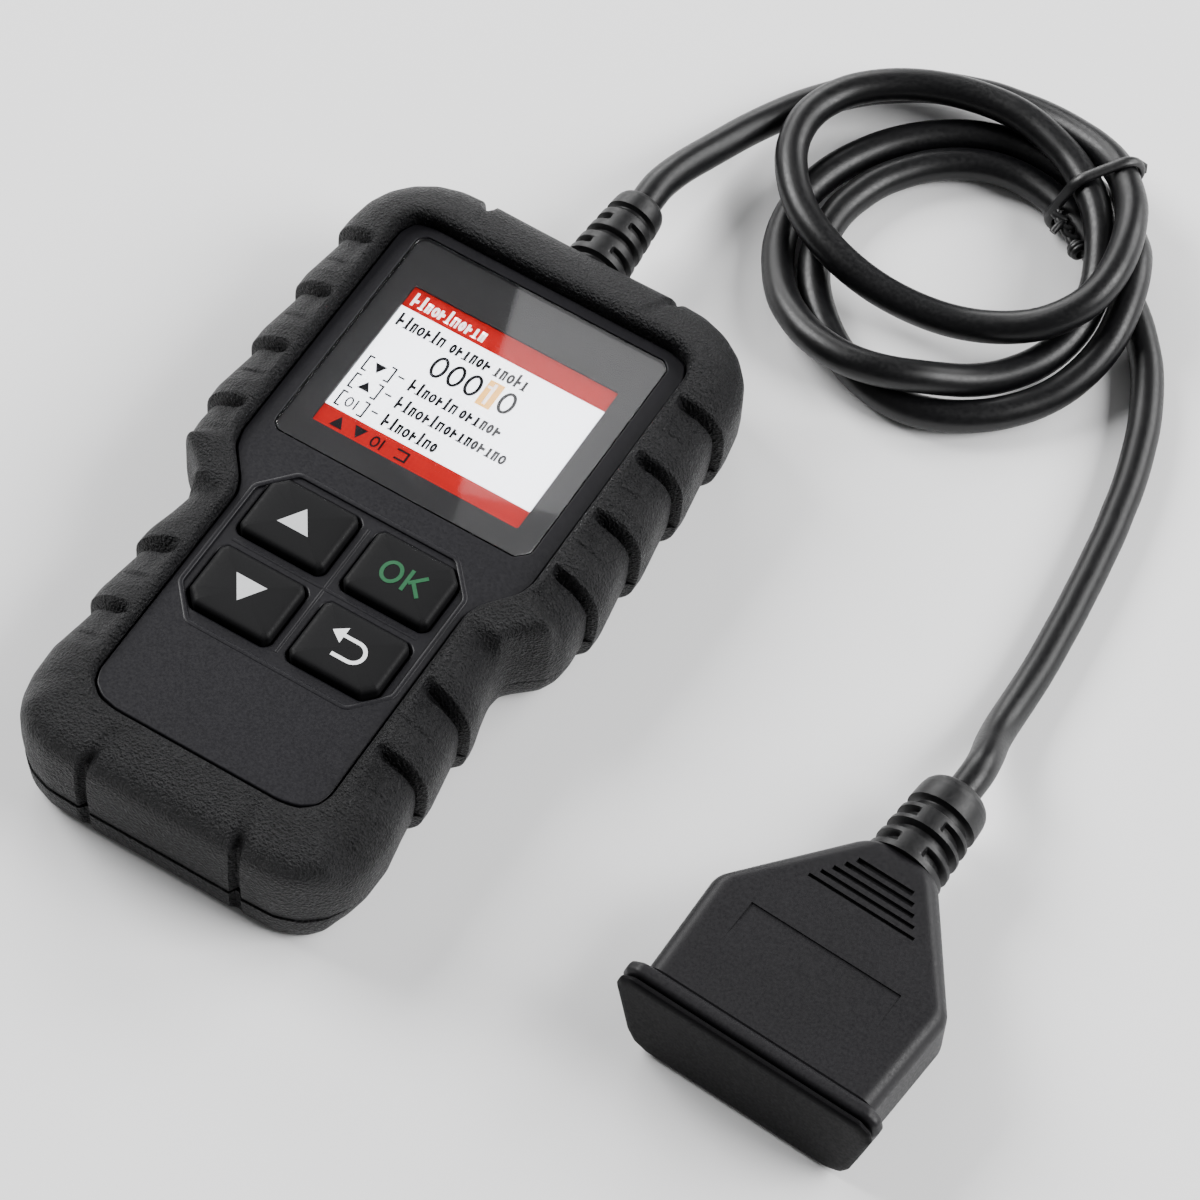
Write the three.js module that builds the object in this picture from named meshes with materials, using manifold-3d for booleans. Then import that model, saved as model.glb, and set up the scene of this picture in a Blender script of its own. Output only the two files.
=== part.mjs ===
// Handheld OBD code reader with its cable and diagnostic plug.
// Millimetres, +Z up. The reader lies on its back: origin at the bottom centre of the case,
// +X to its right, +Y towards the cable end, +Z out of the front face.
import * as THREE from "three";
import * as BufferGeometryUtils from "three/addons/utils/BufferGeometryUtils.js";
import Module from "manifold-3d";

const wasm = await Module();
wasm.setup();

// ---- driving dimensions ----
const CASE_LENGTH = 118; // along Y
const CASE_HALF_WIDTH = 34.15; // at the head
const CREST_HEAD = 22.3; // height of the frame at the cable end
const CREST_SLOPE = 0.0165; // the frame gets lower towards the other end
const PARTING = 6.0; // height of the joint line between the shells
const GAP = 0.3; // clearance between touching pieces
const PANEL_TOP = 19.5;
const PANEL_THICKNESS = 1.6;
const PANEL_SEAT = PANEL_TOP - PANEL_THICKNESS - GAP; // 17.6
const SHELL_ROOF = 16.0; // underside of the front wall
const FLOOR_WALL = 2.0; // thickness of the back wall
const LENS = { x: 21.9, y0: 4.2, y1: 45.6, t: 0.9 };
const LCD = { w: 37.2, h: 30.6, y: 23.2, z0: 16.35, z1: 18.1 };
const KEY = { w: 15.2, h: 11.9, top: 20.9, travel: 1.0, x: 8.9, yTop: -8.3, yLow: -22.6 };
const BOARD = { z0: 9.3, z1: 10.9 };
const RELIEF_Z = 9.5; // height of the cable axis where it leaves the case
const CABLE_R = 2.6;
const PLUG = { x: 88.9, y: -46.9, turn: -3.6, z: 8.9, w: 42.8, h: 17.6 };
const CAP_TRAVEL = 25; // straight pull that clears the mouth

// ---- helpers ----
const root = new THREE.Group();

function mat(color, roughness, metalness = 0) {
  return new THREE.MeshStandardMaterial({ color, roughness, metalness });
}
const M = {
  shell: mat(0x17171a, 0.72),
  panel: mat(0x0e0e10, 0.42),
  lens: mat(0x1b1b1f, 0.08),
  lcd: mat(0xd9dde2, 0.25),
  steel: mat(0xa8abb0, 0.35, 1),
  guide: mat(0xf2f3f4, 0.5),
  flex: mat(0xb06a1c, 0.5),
  board: mat(0x14532d, 0.55),
  chip: mat(0x121214, 0.5),
  tin: mat(0xb9bcc2, 0.3, 1),
  can: mat(0x8f949b, 0.35, 1),
  connector: mat(0xe6e1d2, 0.55),
  silicone: mat(0x101012, 0.62),
  brassy: mat(0xb08d3c, 0.3, 1),
  label: mat(0x3a3a3e, 0.6),
  cable: mat(0x18181a, 0.6),
  plug: mat(0x232225, 0.5),
  tie: mat(0x0d0d0f, 0.5),
};

function plain(g) {
  g = g.index ? g.toNonIndexed() : g.clone();
  const p = new THREE.BufferGeometry();
  p.setAttribute("position", g.getAttribute("position").clone());
  return BufferGeometryUtils.mergeVertices(p, 1e-4);
}
function solid(g) {
  const p = plain(g);
  return new wasm.Manifold(
    new wasm.Mesh({
      numProp: 3,
      vertProperties: new Float32Array(p.attributes.position.array),
      triVerts: new Uint32Array(p.index.array),
    }),
  );
}
function geometry(s) {
  const m = s.getMesh(), n = m.numProp;
  const v = new Float32Array(m.numVert * 3);
  for (let i = 0; i < m.numVert; i++) v.set(m.vertProperties.subarray(i * n, i * n + 3), i * 3);
  const g = new THREE.BufferGeometry();
  g.setAttribute("position", new THREE.BufferAttribute(v, 3));
  g.setIndex(new THREE.BufferAttribute(new Uint32Array(m.triVerts), 1));
  g.computeVertexNormals();
  return g;
}
const join = (...s) => s.reduce((a, b) => a.add(b));
const cut = (a, ...s) => s.reduce((x, b) => x.subtract(b), a);
function add(name, shape, material, parent = root) {
  const mesh = new THREE.Mesh(shape.isBufferGeometry ? shape : geometry(shape), material);
  mesh.name = name;
  parent.add(mesh);
  return mesh;
}
const shapeOf = (pts) => new THREE.Shape(pts.map(([x, y]) => new THREE.Vector2(x, y)));
// Upright prism of a plan outline between two heights.
function prism(pts, z0, z1) {
  const g = new THREE.ExtrudeGeometry(shapeOf(pts), { depth: z1 - z0, bevelEnabled: false });
  g.translate(0, 0, z0);
  return solid(g);
}
function box(x0, x1, y0, y1, z0, z1) {
  const g = new THREE.BoxGeometry(x1 - x0, y1 - y0, z1 - z0);
  g.translate((x0 + x1) / 2, (y0 + y1) / 2, (z0 + z1) / 2);
  return solid(g);
}
// Rectangle outline with cut corners.
function rect(cx, cy, w, h, c = 0.8) {
  const a = w / 2, b = h / 2;
  return [
    [cx - a + c, cy - b], [cx + a - c, cy - b], [cx + a, cy - b + c], [cx + a, cy + b - c],
    [cx + a - c, cy + b], [cx - a + c, cy + b], [cx - a, cy + b - c], [cx - a, cy - b + c],
  ];
}
function cylZ(x, y, r, z0, z1, n = 16, r1 = r) {
  const g = new THREE.CylinderGeometry(r1, r, z1 - z0, n);
  g.rotateX(Math.PI / 2);
  g.translate(x, y, (z0 + z1) / 2);
  return solid(g);
}
function cylY(x, z, r, y0, y1, n = 16) {
  const g = new THREE.CylinderGeometry(r, r, y1 - y0, n);
  g.translate(x, (y0 + y1) / 2, z);
  return solid(g);
}
// Closed skin through rings of equal point count, capped at both ends.
function loft(rings) {
  const n = rings[0].length, pos = [], idx = [];
  for (const r of rings) for (const p of r) pos.push(p[0], p[1], p[2]);
  for (let k = 0; k + 1 < rings.length; k++)
    for (let i = 0; i < n; i++) {
      const a = k * n + i, b = k * n + ((i + 1) % n), c = a + n, d = b + n;
      idx.push(a, b, d, a, d, c);
    }
  const cap = (k, flip) => {
    const ring = rings[k];
    const tri = THREE.ShapeUtils.triangulateShape(ring.map((p) => new THREE.Vector2(p[0], p[1])), []);
    for (const [a, b, c] of tri) flip ? idx.push(k * n + c, k * n + b, k * n + a) : idx.push(k * n + a, k * n + b, k * n + c);
  };
  cap(0, true);
  cap(rings.length - 1, false);
  const g = new THREE.BufferGeometry();
  g.setAttribute("position", new THREE.Float32BufferAttribute(pos, 3));
  g.setIndex(idx);
  return solid(g);
}
// Ring solid: sections along a closed path, each section a loop of points.
function ringLoft(sections) {
  const m = sections.length, n = sections[0].length, pos = [], idx = [];
  for (const s of sections) for (const p of s) pos.push(p[0], p[1], p[2]);
  for (let k = 0; k < m; k++)
    for (let i = 0; i < n; i++) {
      const a = k * n + i, b = k * n + ((i + 1) % n), c = ((k + 1) % m) * n + i, d = ((k + 1) % m) * n + ((i + 1) % n);
      idx.push(a, b, d, a, d, c);
    }
  const g = new THREE.BufferGeometry();
  g.setAttribute("position", new THREE.Float32BufferAttribute(pos, 3));
  g.setIndex(idx);
  return solid(g);
}

// ---- case outline ----
// Right half from the cable end to the other end: x, y and outward direction.
// The steps at y 41, 29, 17, 5, -22 and -33 are the saw-tooth ribs of the grip.
const HALF = [
  [0, 59, 0, 1], [15.9, 59, 0, 1], [16.9, 57.9, 0, 1], [17.9, 59, 0, 1], [21.6, 58.8, 0.2, 0.98], [25.6, 57.6, 0.42, 0.9],
  [29.1, 55.3, 0.64, 0.77], [31.7, 52, 0.84, 0.54], [33.4, 48, 0.97, 0.25], [34.15, 44, 1, 0], [34.15, 41.4, 1, 0],
  [33.0, 40.9, 1, 0], [33.7, 36.5, 1, 0], [34.15, 32.5, 1, 0], [34.1, 29.4, 1, 0],
  [33.0, 28.9, 1, 0], [33.7, 24.5, 1, 0], [34.15, 20.5, 1, 0], [34.1, 17.4, 1, 0],
  [33.0, 16.9, 1, 0], [33.7, 12.5, 1, 0], [34.15, 8.5, 1, 0], [34.1, 5.4, 1, 0],
  [33.0, 4.9, 1, 0], [33.4, 1.5, 1, 0], [33.2, -1.5, 0.97, -0.25], [31.7, -4.2, 0.8, -0.6], [29.2, -6.4, 0.66, -0.75],
  [27.5, -8.4, 0.85, -0.5], [27.0, -11.5, 1, 0], [27.7, -15.5, 1, 0], [28.7, -18.8, 1, 0], [28.9, -21.4, 1, 0],
  [27.8, -21.9, 1, 0], [28.5, -26, 1, 0], [29.0, -29.5, 1, 0], [28.9, -33.1, 1, 0],
  [27.7, -33.6, 1, 0], [27.6, -37.2, 1, 0], [28.7, -39, 1, 0], [29.2, -43, 1, 0], [29.0, -48, 1, 0],
  [28.2, -51.6, 0.93, -0.37], [26.2, -55, 0.76, -0.65], [23.2, -57.5, 0.5, -0.86], [19.5, -58.8, 0.15, -0.99],
  [13.9, -59, 0, -1], [12.9, -57.9, 0, -1], [11.9, -59, 0, -1], [0, -59, 0, -1],
];
// Full outline, counter-clockwise, moved inwards by d.
function outline(d) {
  const right = HALF.map(([x, y, nx, ny]) => [Math.max(0, x - nx * d), y - ny * d]);
  const down = right.slice(1, -1).map(([x, y]) => [-x, y]);
  return [...right.slice().reverse(), ...down];
}
const crest = (y) => CREST_HEAD - (51.4 - y) * CREST_SLOPE;
const ring = (d, z) => outline(d).map(([x, y]) => [x, y, typeof z === "function" ? z(y) : z]);
// Inside of the walls, without ribs.
function cavity(d) {
  const r = [
    [0, 56.4 - d], [19, 56.2 - d], [25 - d, 54 - d], [29.2 - d, 49.5 - d], [30.3 - d, 44], [30.3 - d, 0],
    [28.4 - d, -2.6], [24.6 - d, -6.5 + d], [24.4 - d, -12], [24.8 - d, -20], [24.8 - d, -48], [22.6 - d, -52.6 + d], [18 - d, -55.6 + d], [0, -56.2 + d],
  ];
  return [...r.slice().reverse(), ...r.slice(1, -1).map(([x, y]) => [-x, y])];
}
// Face panel outline.
const PANEL_HALF = [
  [0, 47.7], [18.6, 47.7], [22.6, 46.9], [24.9, 44.2], [25, 1.2], [24.2, -1.6], [20.4, -6.3], [19.5, -8.6],
  [19.5, -44.2], [18.7, -46.4], [16.6, -47.9], [13.8, -48.5], [0, -48.5],
];
function panelOutline(d) {
  const r = PANEL_HALF.map(([x, y]) => [x === 0 ? 0 : x - d, y > 46 ? y - d : y < -46 ? y + d : y]);
  return [...r.slice().reverse(), ...r.slice(1, -1).map(([x, y]) => [-x, y])];
}
const KEYS = {
  key_up: [-KEY.x, KEY.yTop], key_down: [-KEY.x, KEY.yLow], key_ok: [KEY.x, KEY.yTop], key_back: [KEY.x, KEY.yLow],
};
const SCREWS = [[27.0, 47.4], [-27.0, 47.4], [20.6, -50.6], [-20.6, -50.6]];

// ---- front shell ----
{
  let s = loft([
    ring(0.5, PARTING + GAP / 2), ring(0.12, 9), ring(0, 12), ring(0.5, (y) => crest(y) - 6.4), ring(1.5, (y) => crest(y) - 4.1),
    ring(3.2, (y) => crest(y) - 2), ring(5.2, (y) => crest(y) - 0.6), ring(7.4, crest),
  ]);
  s = cut(s, prism(cavity(0), PARTING - 1, SHELL_ROOF), prism(panelOutline(-0.35), PANEL_SEAT, 30));
  s = cut(s, box(-19.2, 19.2, LCD.y - 15.9, LCD.y + 15.9, SHELL_ROOF - 1, PANEL_SEAT + 1));
  for (const [x, y] of Object.values(KEYS)) s = cut(s, prism(rect(x, y, KEY.w + 0.8, KEY.h + 0.8, 1.8), SHELL_ROOF - 1, PANEL_SEAT + 1));
  for (const [x, y] of SCREWS) s = join(s, cylZ(x, y, 3.4, PARTING + GAP / 2, SHELL_ROOF + 0.4, 12));
  for (const [x, y] of SCREWS) s = cut(s, cylZ(x, y, 1.75, PARTING, SHELL_ROOF - 1.2, 12));
  s = cut(s, cylY(0, RELIEF_Z, 4.1, 52, 62, 20));
  add("front_shell", s, M.shell);
}
// ---- back shell ----
{
  let s = loft([ring(4.4, 0), ring(2.8, 0.7), ring(1.5, 2.4), ring(0.55, PARTING - GAP / 2)]);
  s = cut(s, prism(cavity(0), FLOOR_WALL, PARTING + 1));
  for (const [x, y] of SCREWS) s = join(s, cylZ(x, y, 4.2, FLOOR_WALL - 0.5, PARTING - GAP / 2, 14));
  for (const [x, y] of SCREWS) s = cut(s, cylZ(x, y, 1.8, -1, 12, 12), cylZ(x, y, 3.3, -1, 2.6, 14));
  s = cut(s, prism(rect(0, -4, 38.6, 54.6, 2), -1, 0.7), cylY(0, RELIEF_Z, 4.1, 52, 62, 20));
  add("back_shell", s, M.shell);
  add("rear_label", prism(rect(0, -4, 38, 54, 1.8), 0.05, 0.4), M.label);
}
// ---- case screws, driven from the back ----
SCREWS.forEach(([x, y], i) => {
  add("case_screw_" + (i + 1), cut(join(cylZ(x, y, 2.9, 0.5, 2.3, 14), cylZ(x, y, 1.4, 2.2, 13.5, 10)), box(x - 0.4, x + 0.4, y - 1.7, y + 1.7, 0, 1.3)), M.steel);
});
// ---- face panel with the pocket of the lens ----
{
  let s = prism(panelOutline(0), PANEL_SEAT + GAP, PANEL_TOP);
  s = cut(s, prism(rect(0, (LENS.y0 + LENS.y1) / 2, 2 * LENS.x + 0.6, LENS.y1 - LENS.y0 + 0.6, 3.4), PANEL_TOP - LENS.t - GAP, 25));
  s = cut(s, box(-18.9, 18.9, LCD.y - 15.6, LCD.y + 15.6, 15, 25));
  for (const [x, y] of Object.values(KEYS)) s = cut(s, prism(rect(x, y, KEY.w + 0.7, KEY.h + 0.7, 1.8), 15, 25));
  add("face_panel", s, M.panel);
}
add("screen_lens", prism(rect(0, (LENS.y0 + LENS.y1) / 2, 2 * LENS.x, LENS.y1 - LENS.y0, 3.2), PANEL_TOP - LENS.t, PANEL_TOP + 0.05), M.lens);
// ---- display module ----
add("lcd_panel", box(-LCD.w / 2, LCD.w / 2, LCD.y - LCD.h / 2, LCD.y + LCD.h / 2, LCD.z0, LCD.z1), M.lcd);
add("lcd_backlight", box(-18.2, 18.2, LCD.y - 14.9, LCD.y + 14.9, 12.9, 15.9), M.guide);
add("lcd_frame", cut(
  box(-20.6, 20.6, LCD.y - 17.2, LCD.y + 17.2, 11.9, 15.7),
  box(-18.6, 18.6, LCD.y - 15.3, LCD.y + 15.3, 12.6, 20),
  box(-12, 12, LCD.y - 10, LCD.y + 10, 11, 13),
), M.steel);
{
  // flat flex that leaves the display module and lands on the board
  const s = shapeOf([[5.6, 14.2], [5.6, 14.5], [2.6, 14.5], [2.6, 11.5], [-0.6, 11.5], [-0.6, 11.2], [2.9, 11.2], [2.9, 14.2]]);
  const g = new THREE.ExtrudeGeometry(s, { depth: 16, bevelEnabled: false });
  g.applyMatrix4(new THREE.Matrix4().set(0, 0, 1, -8, 1, 0, 0, 0, 0, 1, 0, 0, 0, 0, 0, 1));
  add("lcd_flex", g, M.flex);
}
// ---- keypad ----
{
  let s = prism(rect(0, (KEY.yTop + KEY.yLow) / 2, 36.4, 28.8, 4), 14.5, 15.2);
  for (const [x, y] of Object.values(KEYS)) s = cut(s, cylZ(x, y, 3.2, 14, 16, 12));
  add("key_mat", s, M.silicone);
}
for (const [name, [x, y]] of Object.entries(KEYS)) {
  const cap = loft([
    rect(x, y, KEY.w, KEY.h, 1.6).map((p) => [...p, 16.5]),
    rect(x, y, KEY.w, KEY.h, 1.6).map((p) => [...p, KEY.top - 0.7]),
    rect(x, y, KEY.w - 1.6, KEY.h - 1.6, 1.4).map((p) => [...p, KEY.top]),
  ]);
  add(name, join(cap, cylZ(x, y, 2.6, 13.7, 17, 12)), M.silicone);
}
Object.values(KEYS).forEach(([x, y], i) => {
  add("dome_switch_" + (i + 1), cylZ(x, y, 3.0, 11.2, 12.3, 16, 1.4), M.steel);
});
// ---- board and what it carries ----
{
  const edge = [
    [-17.5, -44], [17.5, -44], [18.5, -43], [18.5, -10], [21.5, -5], [21.5, 45], [20.5, 46], [-20.5, 46], [-21.5, 45], [-21.5, -5], [-18.5, -10], [-18.5, -43],
  ];
  let s = prism(edge, BOARD.z0, BOARD.z1);
  s = cut(s, cylZ(0, -40, 1.5, 5, 15, 12), cylZ(0, 41.5, 1.5, 5, 15, 12));
  add("main_board", s, M.board);
}
const under = (h) => [BOARD.z0 - GAP - h, BOARD.z0 - GAP];
add("mcu_chip", box(-6.5, 6.5, -9, 4, ...under(1.4)), M.chip);
add("memory_chip", box(-14, -9, -2, 4, ...under(1.5)), M.chip);
add("can_transceiver", box(8.5, 13.5, 18, 22, ...under(1.5)), M.chip);
add("voltage_regulator", box(-15, -8.5, 20, 26.5, ...under(2.3)), M.chip);
add("crystal", box(9.5, 14, -4, 7, ...under(2.6)), M.can);
add("capacitor_1", cylZ(-12, 33, 3.1, ...under(5.4), 14), M.can);
add("capacitor_2", cylZ(12, 33, 3.1, ...under(5.4), 14), M.can);
add("cable_header", cut(box(-7, 7, 31, 36, ...under(5.2)), box(-6, 6, 33, 37, BOARD.z0 - GAP - 4.4, BOARD.z0 - GAP - 1)), M.connector);
add("crimp_plug", box(-5.7, 5.7, 33.4, 38.6, BOARD.z0 - GAP - 4.1, BOARD.z0 - GAP - 1.3), M.connector);
add("board_screw_1", join(cylZ(0, -40, 2.6, 11.2, 12.6, 12), cylZ(0, -40, 1.15, 5.5, 11.4, 10)), M.steel);
add("board_screw_2", join(cylZ(0, 41.5, 2.4, 7.2, 9.0, 12), cylZ(0, 41.5, 1.15, 8.8, 12.2, 10)), M.steel);

// ---- strain reliefs ----
// Profile of radius against distance along the axis, turned about +Y.
function turned(profile, n = 16) {
  return solid(new THREE.LatheGeometry(profile.map(([r, y]) => new THREE.Vector2(r, y)), n));
}
{
  const pr = [[0, 53.4], [5.9, 53.4], [5.9, 55.9], [3.75, 55.9], [3.75, 59.35], [5.25, 59.35], [5.2, 60.9], [4.4, 61.1], [4.4, 62.2], [5.0, 62.4], [4.85, 65.9], [4.1, 66.1],
    [4.1, 67.2], [4.65, 67.4], [4.4, 70.9], [3.7, 71.1], [3.7, 72.2], [4.3, 72.4], [4.15, 74.6], [3.7, 75.2], [0, 75.2]];
  const g = turned(pr, 16).translate([0, 0, RELIEF_Z]);
  add("cable_relief", g, M.cable);
}

// ---- cable ----
// Centre line of the whole cord; the coil takes the stretch between LEAD_IN_END and LEAD_OUT_START.
const ROUTE = [
  [0.0, 75.5, 9.5], [0.0, 79.5, 9.5], [0.5, 83.4, 8.9], [1.3, 87.3, 8.0], [2.2, 91.0, 7.0], [3.2, 94.8, 6.1],
  [4.3, 98.6, 5.3], [5.6, 102.3, 4.6], [7.2, 106.0, 4.1], [8.9, 109.5, 3.6], [11.0, 112.9, 3.2], [13.4, 116.2, 2.9],
  [16.1, 119.1, 2.8], [19.2, 121.6, 2.8], [22.6, 123.8, 3.0], [26.2, 125.4, 3.3], [30.0, 126.6, 3.6], [33.9, 127.4, 4.1],
  [37.9, 127.7, 4.5], [41.8, 127.7, 5.1], [45.8, 127.2, 5.9], [49.5, 126.3, 6.8], [53.2, 125.0, 7.9], [56.6, 123.2, 9.0],
  [59.6, 120.7, 10.1], [62.1, 117.8, 11.1], [64.3, 114.6, 12.0], [65.9, 111.0, 12.7], [67.1, 107.2, 13.1], [67.8, 103.3, 13.0],
  [67.8, 99.3, 12.4], [66.9, 95.5, 11.5], [65.0, 92.2, 10.5], [62.3, 89.4, 9.4], [59.1, 87.4, 8.4], [55.5, 85.8, 7.6],
  [51.7, 84.6, 7.0], [47.8, 83.7, 6.8], [43.8, 83.2, 6.8], [39.8, 83.0, 7.0], [35.8, 83.2, 7.3], [31.9, 83.8, 7.7],
  [28.1, 84.9, 8.0], [24.4, 86.5, 8.2], [21.0, 88.6, 8.2], [18.0, 91.3, 8.2], [15.5, 94.4, 8.1], [13.5, 97.8, 8.0],
  [12.3, 101.7, 7.9], [12.1, 105.6, 7.9], [13.0, 109.5, 7.8], [14.9, 113.1, 7.8], [17.6, 116.1, 7.8], [20.7, 118.6, 7.8],
  [24.1, 120.6, 7.8], [27.8, 122.1, 7.9], [31.7, 123.1, 8.0], [35.7, 123.6, 8.2], [39.7, 123.5, 8.5], [43.6, 122.8, 8.6],
  [47.4, 121.5, 8.7], [51.1, 119.9, 8.7], [54.5, 117.7, 8.8], [57.5, 115.2, 8.9], [60.2, 112.2, 8.9], [62.4, 108.9, 8.6],
  [64.2, 105.4, 7.8], [65.6, 101.8, 7.0], [66.3, 97.9, 6.1], [66.4, 94.0, 5.3], [65.7, 90.1, 4.7], [64.3, 86.4, 4.4],
  [62.2, 82.9, 4.3], [59.8, 79.8, 4.5], [57.0, 76.9, 5.2], [54.1, 74.4, 6.3], [51.1, 72.1, 7.4], [47.6, 70.1, 8.0],
  [43.9, 68.9, 8.1], [39.9, 68.6, 7.7], [36.0, 69.2, 7.1], [32.3, 70.5, 6.3], [28.9, 72.5, 5.4], [25.9, 74.9, 4.5],
  [23.3, 77.9, 3.7], [21.1, 81.2, 3.1], [19.3, 84.7, 2.7], [18.1, 88.6, 2.6], [17.6, 92.5, 2.6], [17.8, 96.5, 2.6],
  [18.6, 100.5, 2.6], [19.9, 104.2, 2.6], [21.7, 107.8, 2.6], [23.9, 111.2, 2.6], [26.5, 114.2, 2.6], [29.5, 116.9, 2.6],
  [32.8, 119.2, 2.6], [36.4, 120.9, 2.6], [40.2, 122.0, 2.6], [44.2, 122.4, 2.7], [48.2, 122.1, 2.9], [52.1, 121.2, 3.3],
  [55.8, 119.8, 3.7], [59.3, 118.1, 4.3], [62.6, 116.0, 5.2], [65.5, 113.4, 6.3], [67.9, 110.4, 7.5], [69.6, 106.8, 8.1],
  [70.8, 103.0, 8.1], [71.6, 99.2, 7.4], [72.0, 95.3, 6.4], [71.7, 91.5, 5.3], [70.8, 87.7, 4.3], [69.4, 84.1, 3.5],
  [67.4, 80.7, 2.9], [64.9, 77.5, 2.7], [62.1, 74.7, 2.6], [58.9, 72.3, 2.6], [55.4, 70.4, 2.6], [51.5, 69.2, 2.6],
  [47.5, 69.0, 2.6], [43.6, 69.6, 2.6], [39.8, 71.0, 2.6], [36.3, 72.9, 2.6], [33.1, 75.3, 2.6], [30.2, 78.1, 2.6],
  [27.7, 81.2, 2.6], [25.7, 84.7, 2.6], [24.4, 88.5, 2.6], [23.9, 92.4, 2.6], [24.0, 96.4, 2.6], [24.9, 100.3, 2.6],
  [26.3, 104.1, 2.6], [28.4, 107.5, 2.6], [30.9, 110.6, 2.6], [33.9, 113.2, 2.6], [37.4, 115.3, 2.6], [41.2, 116.5, 2.7],
  [45.2, 116.8, 2.8], [49.1, 116.2, 3.1], [52.9, 115.0, 3.4], [56.5, 113.3, 3.6], [60.0, 111.4, 3.4], [63.5, 109.4, 3.0],
  [66.9, 107.3, 2.8], [70.2, 105.0, 2.7], [73.2, 102.3, 2.6], [75.8, 99.3, 2.6], [78.2, 96.1, 2.6], [80.2, 92.6, 2.6],
  [81.9, 89.0, 2.6], [83.4, 85.3, 2.6], [84.6, 81.5, 2.6], [85.7, 77.6, 2.6], [86.6, 73.7, 2.6], [87.3, 69.7, 2.6],
  [88.0, 65.8, 2.6], [88.5, 61.8, 2.6], [89.0, 57.8, 2.6], [89.4, 53.8, 2.6], [89.8, 49.9, 2.6], [90.1, 45.9, 2.6],
  [90.4, 41.9, 2.6], [90.6, 37.9, 2.6], [90.7, 33.9, 2.8], [90.8, 29.9, 3.3], [91.0, 26.0, 4.2], [91.5, 22.3, 5.7],
  [92.3, 18.9, 7.6], [92.8, 15.2, 9.0], [92.6, 11.2, 9.0],
];

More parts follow.
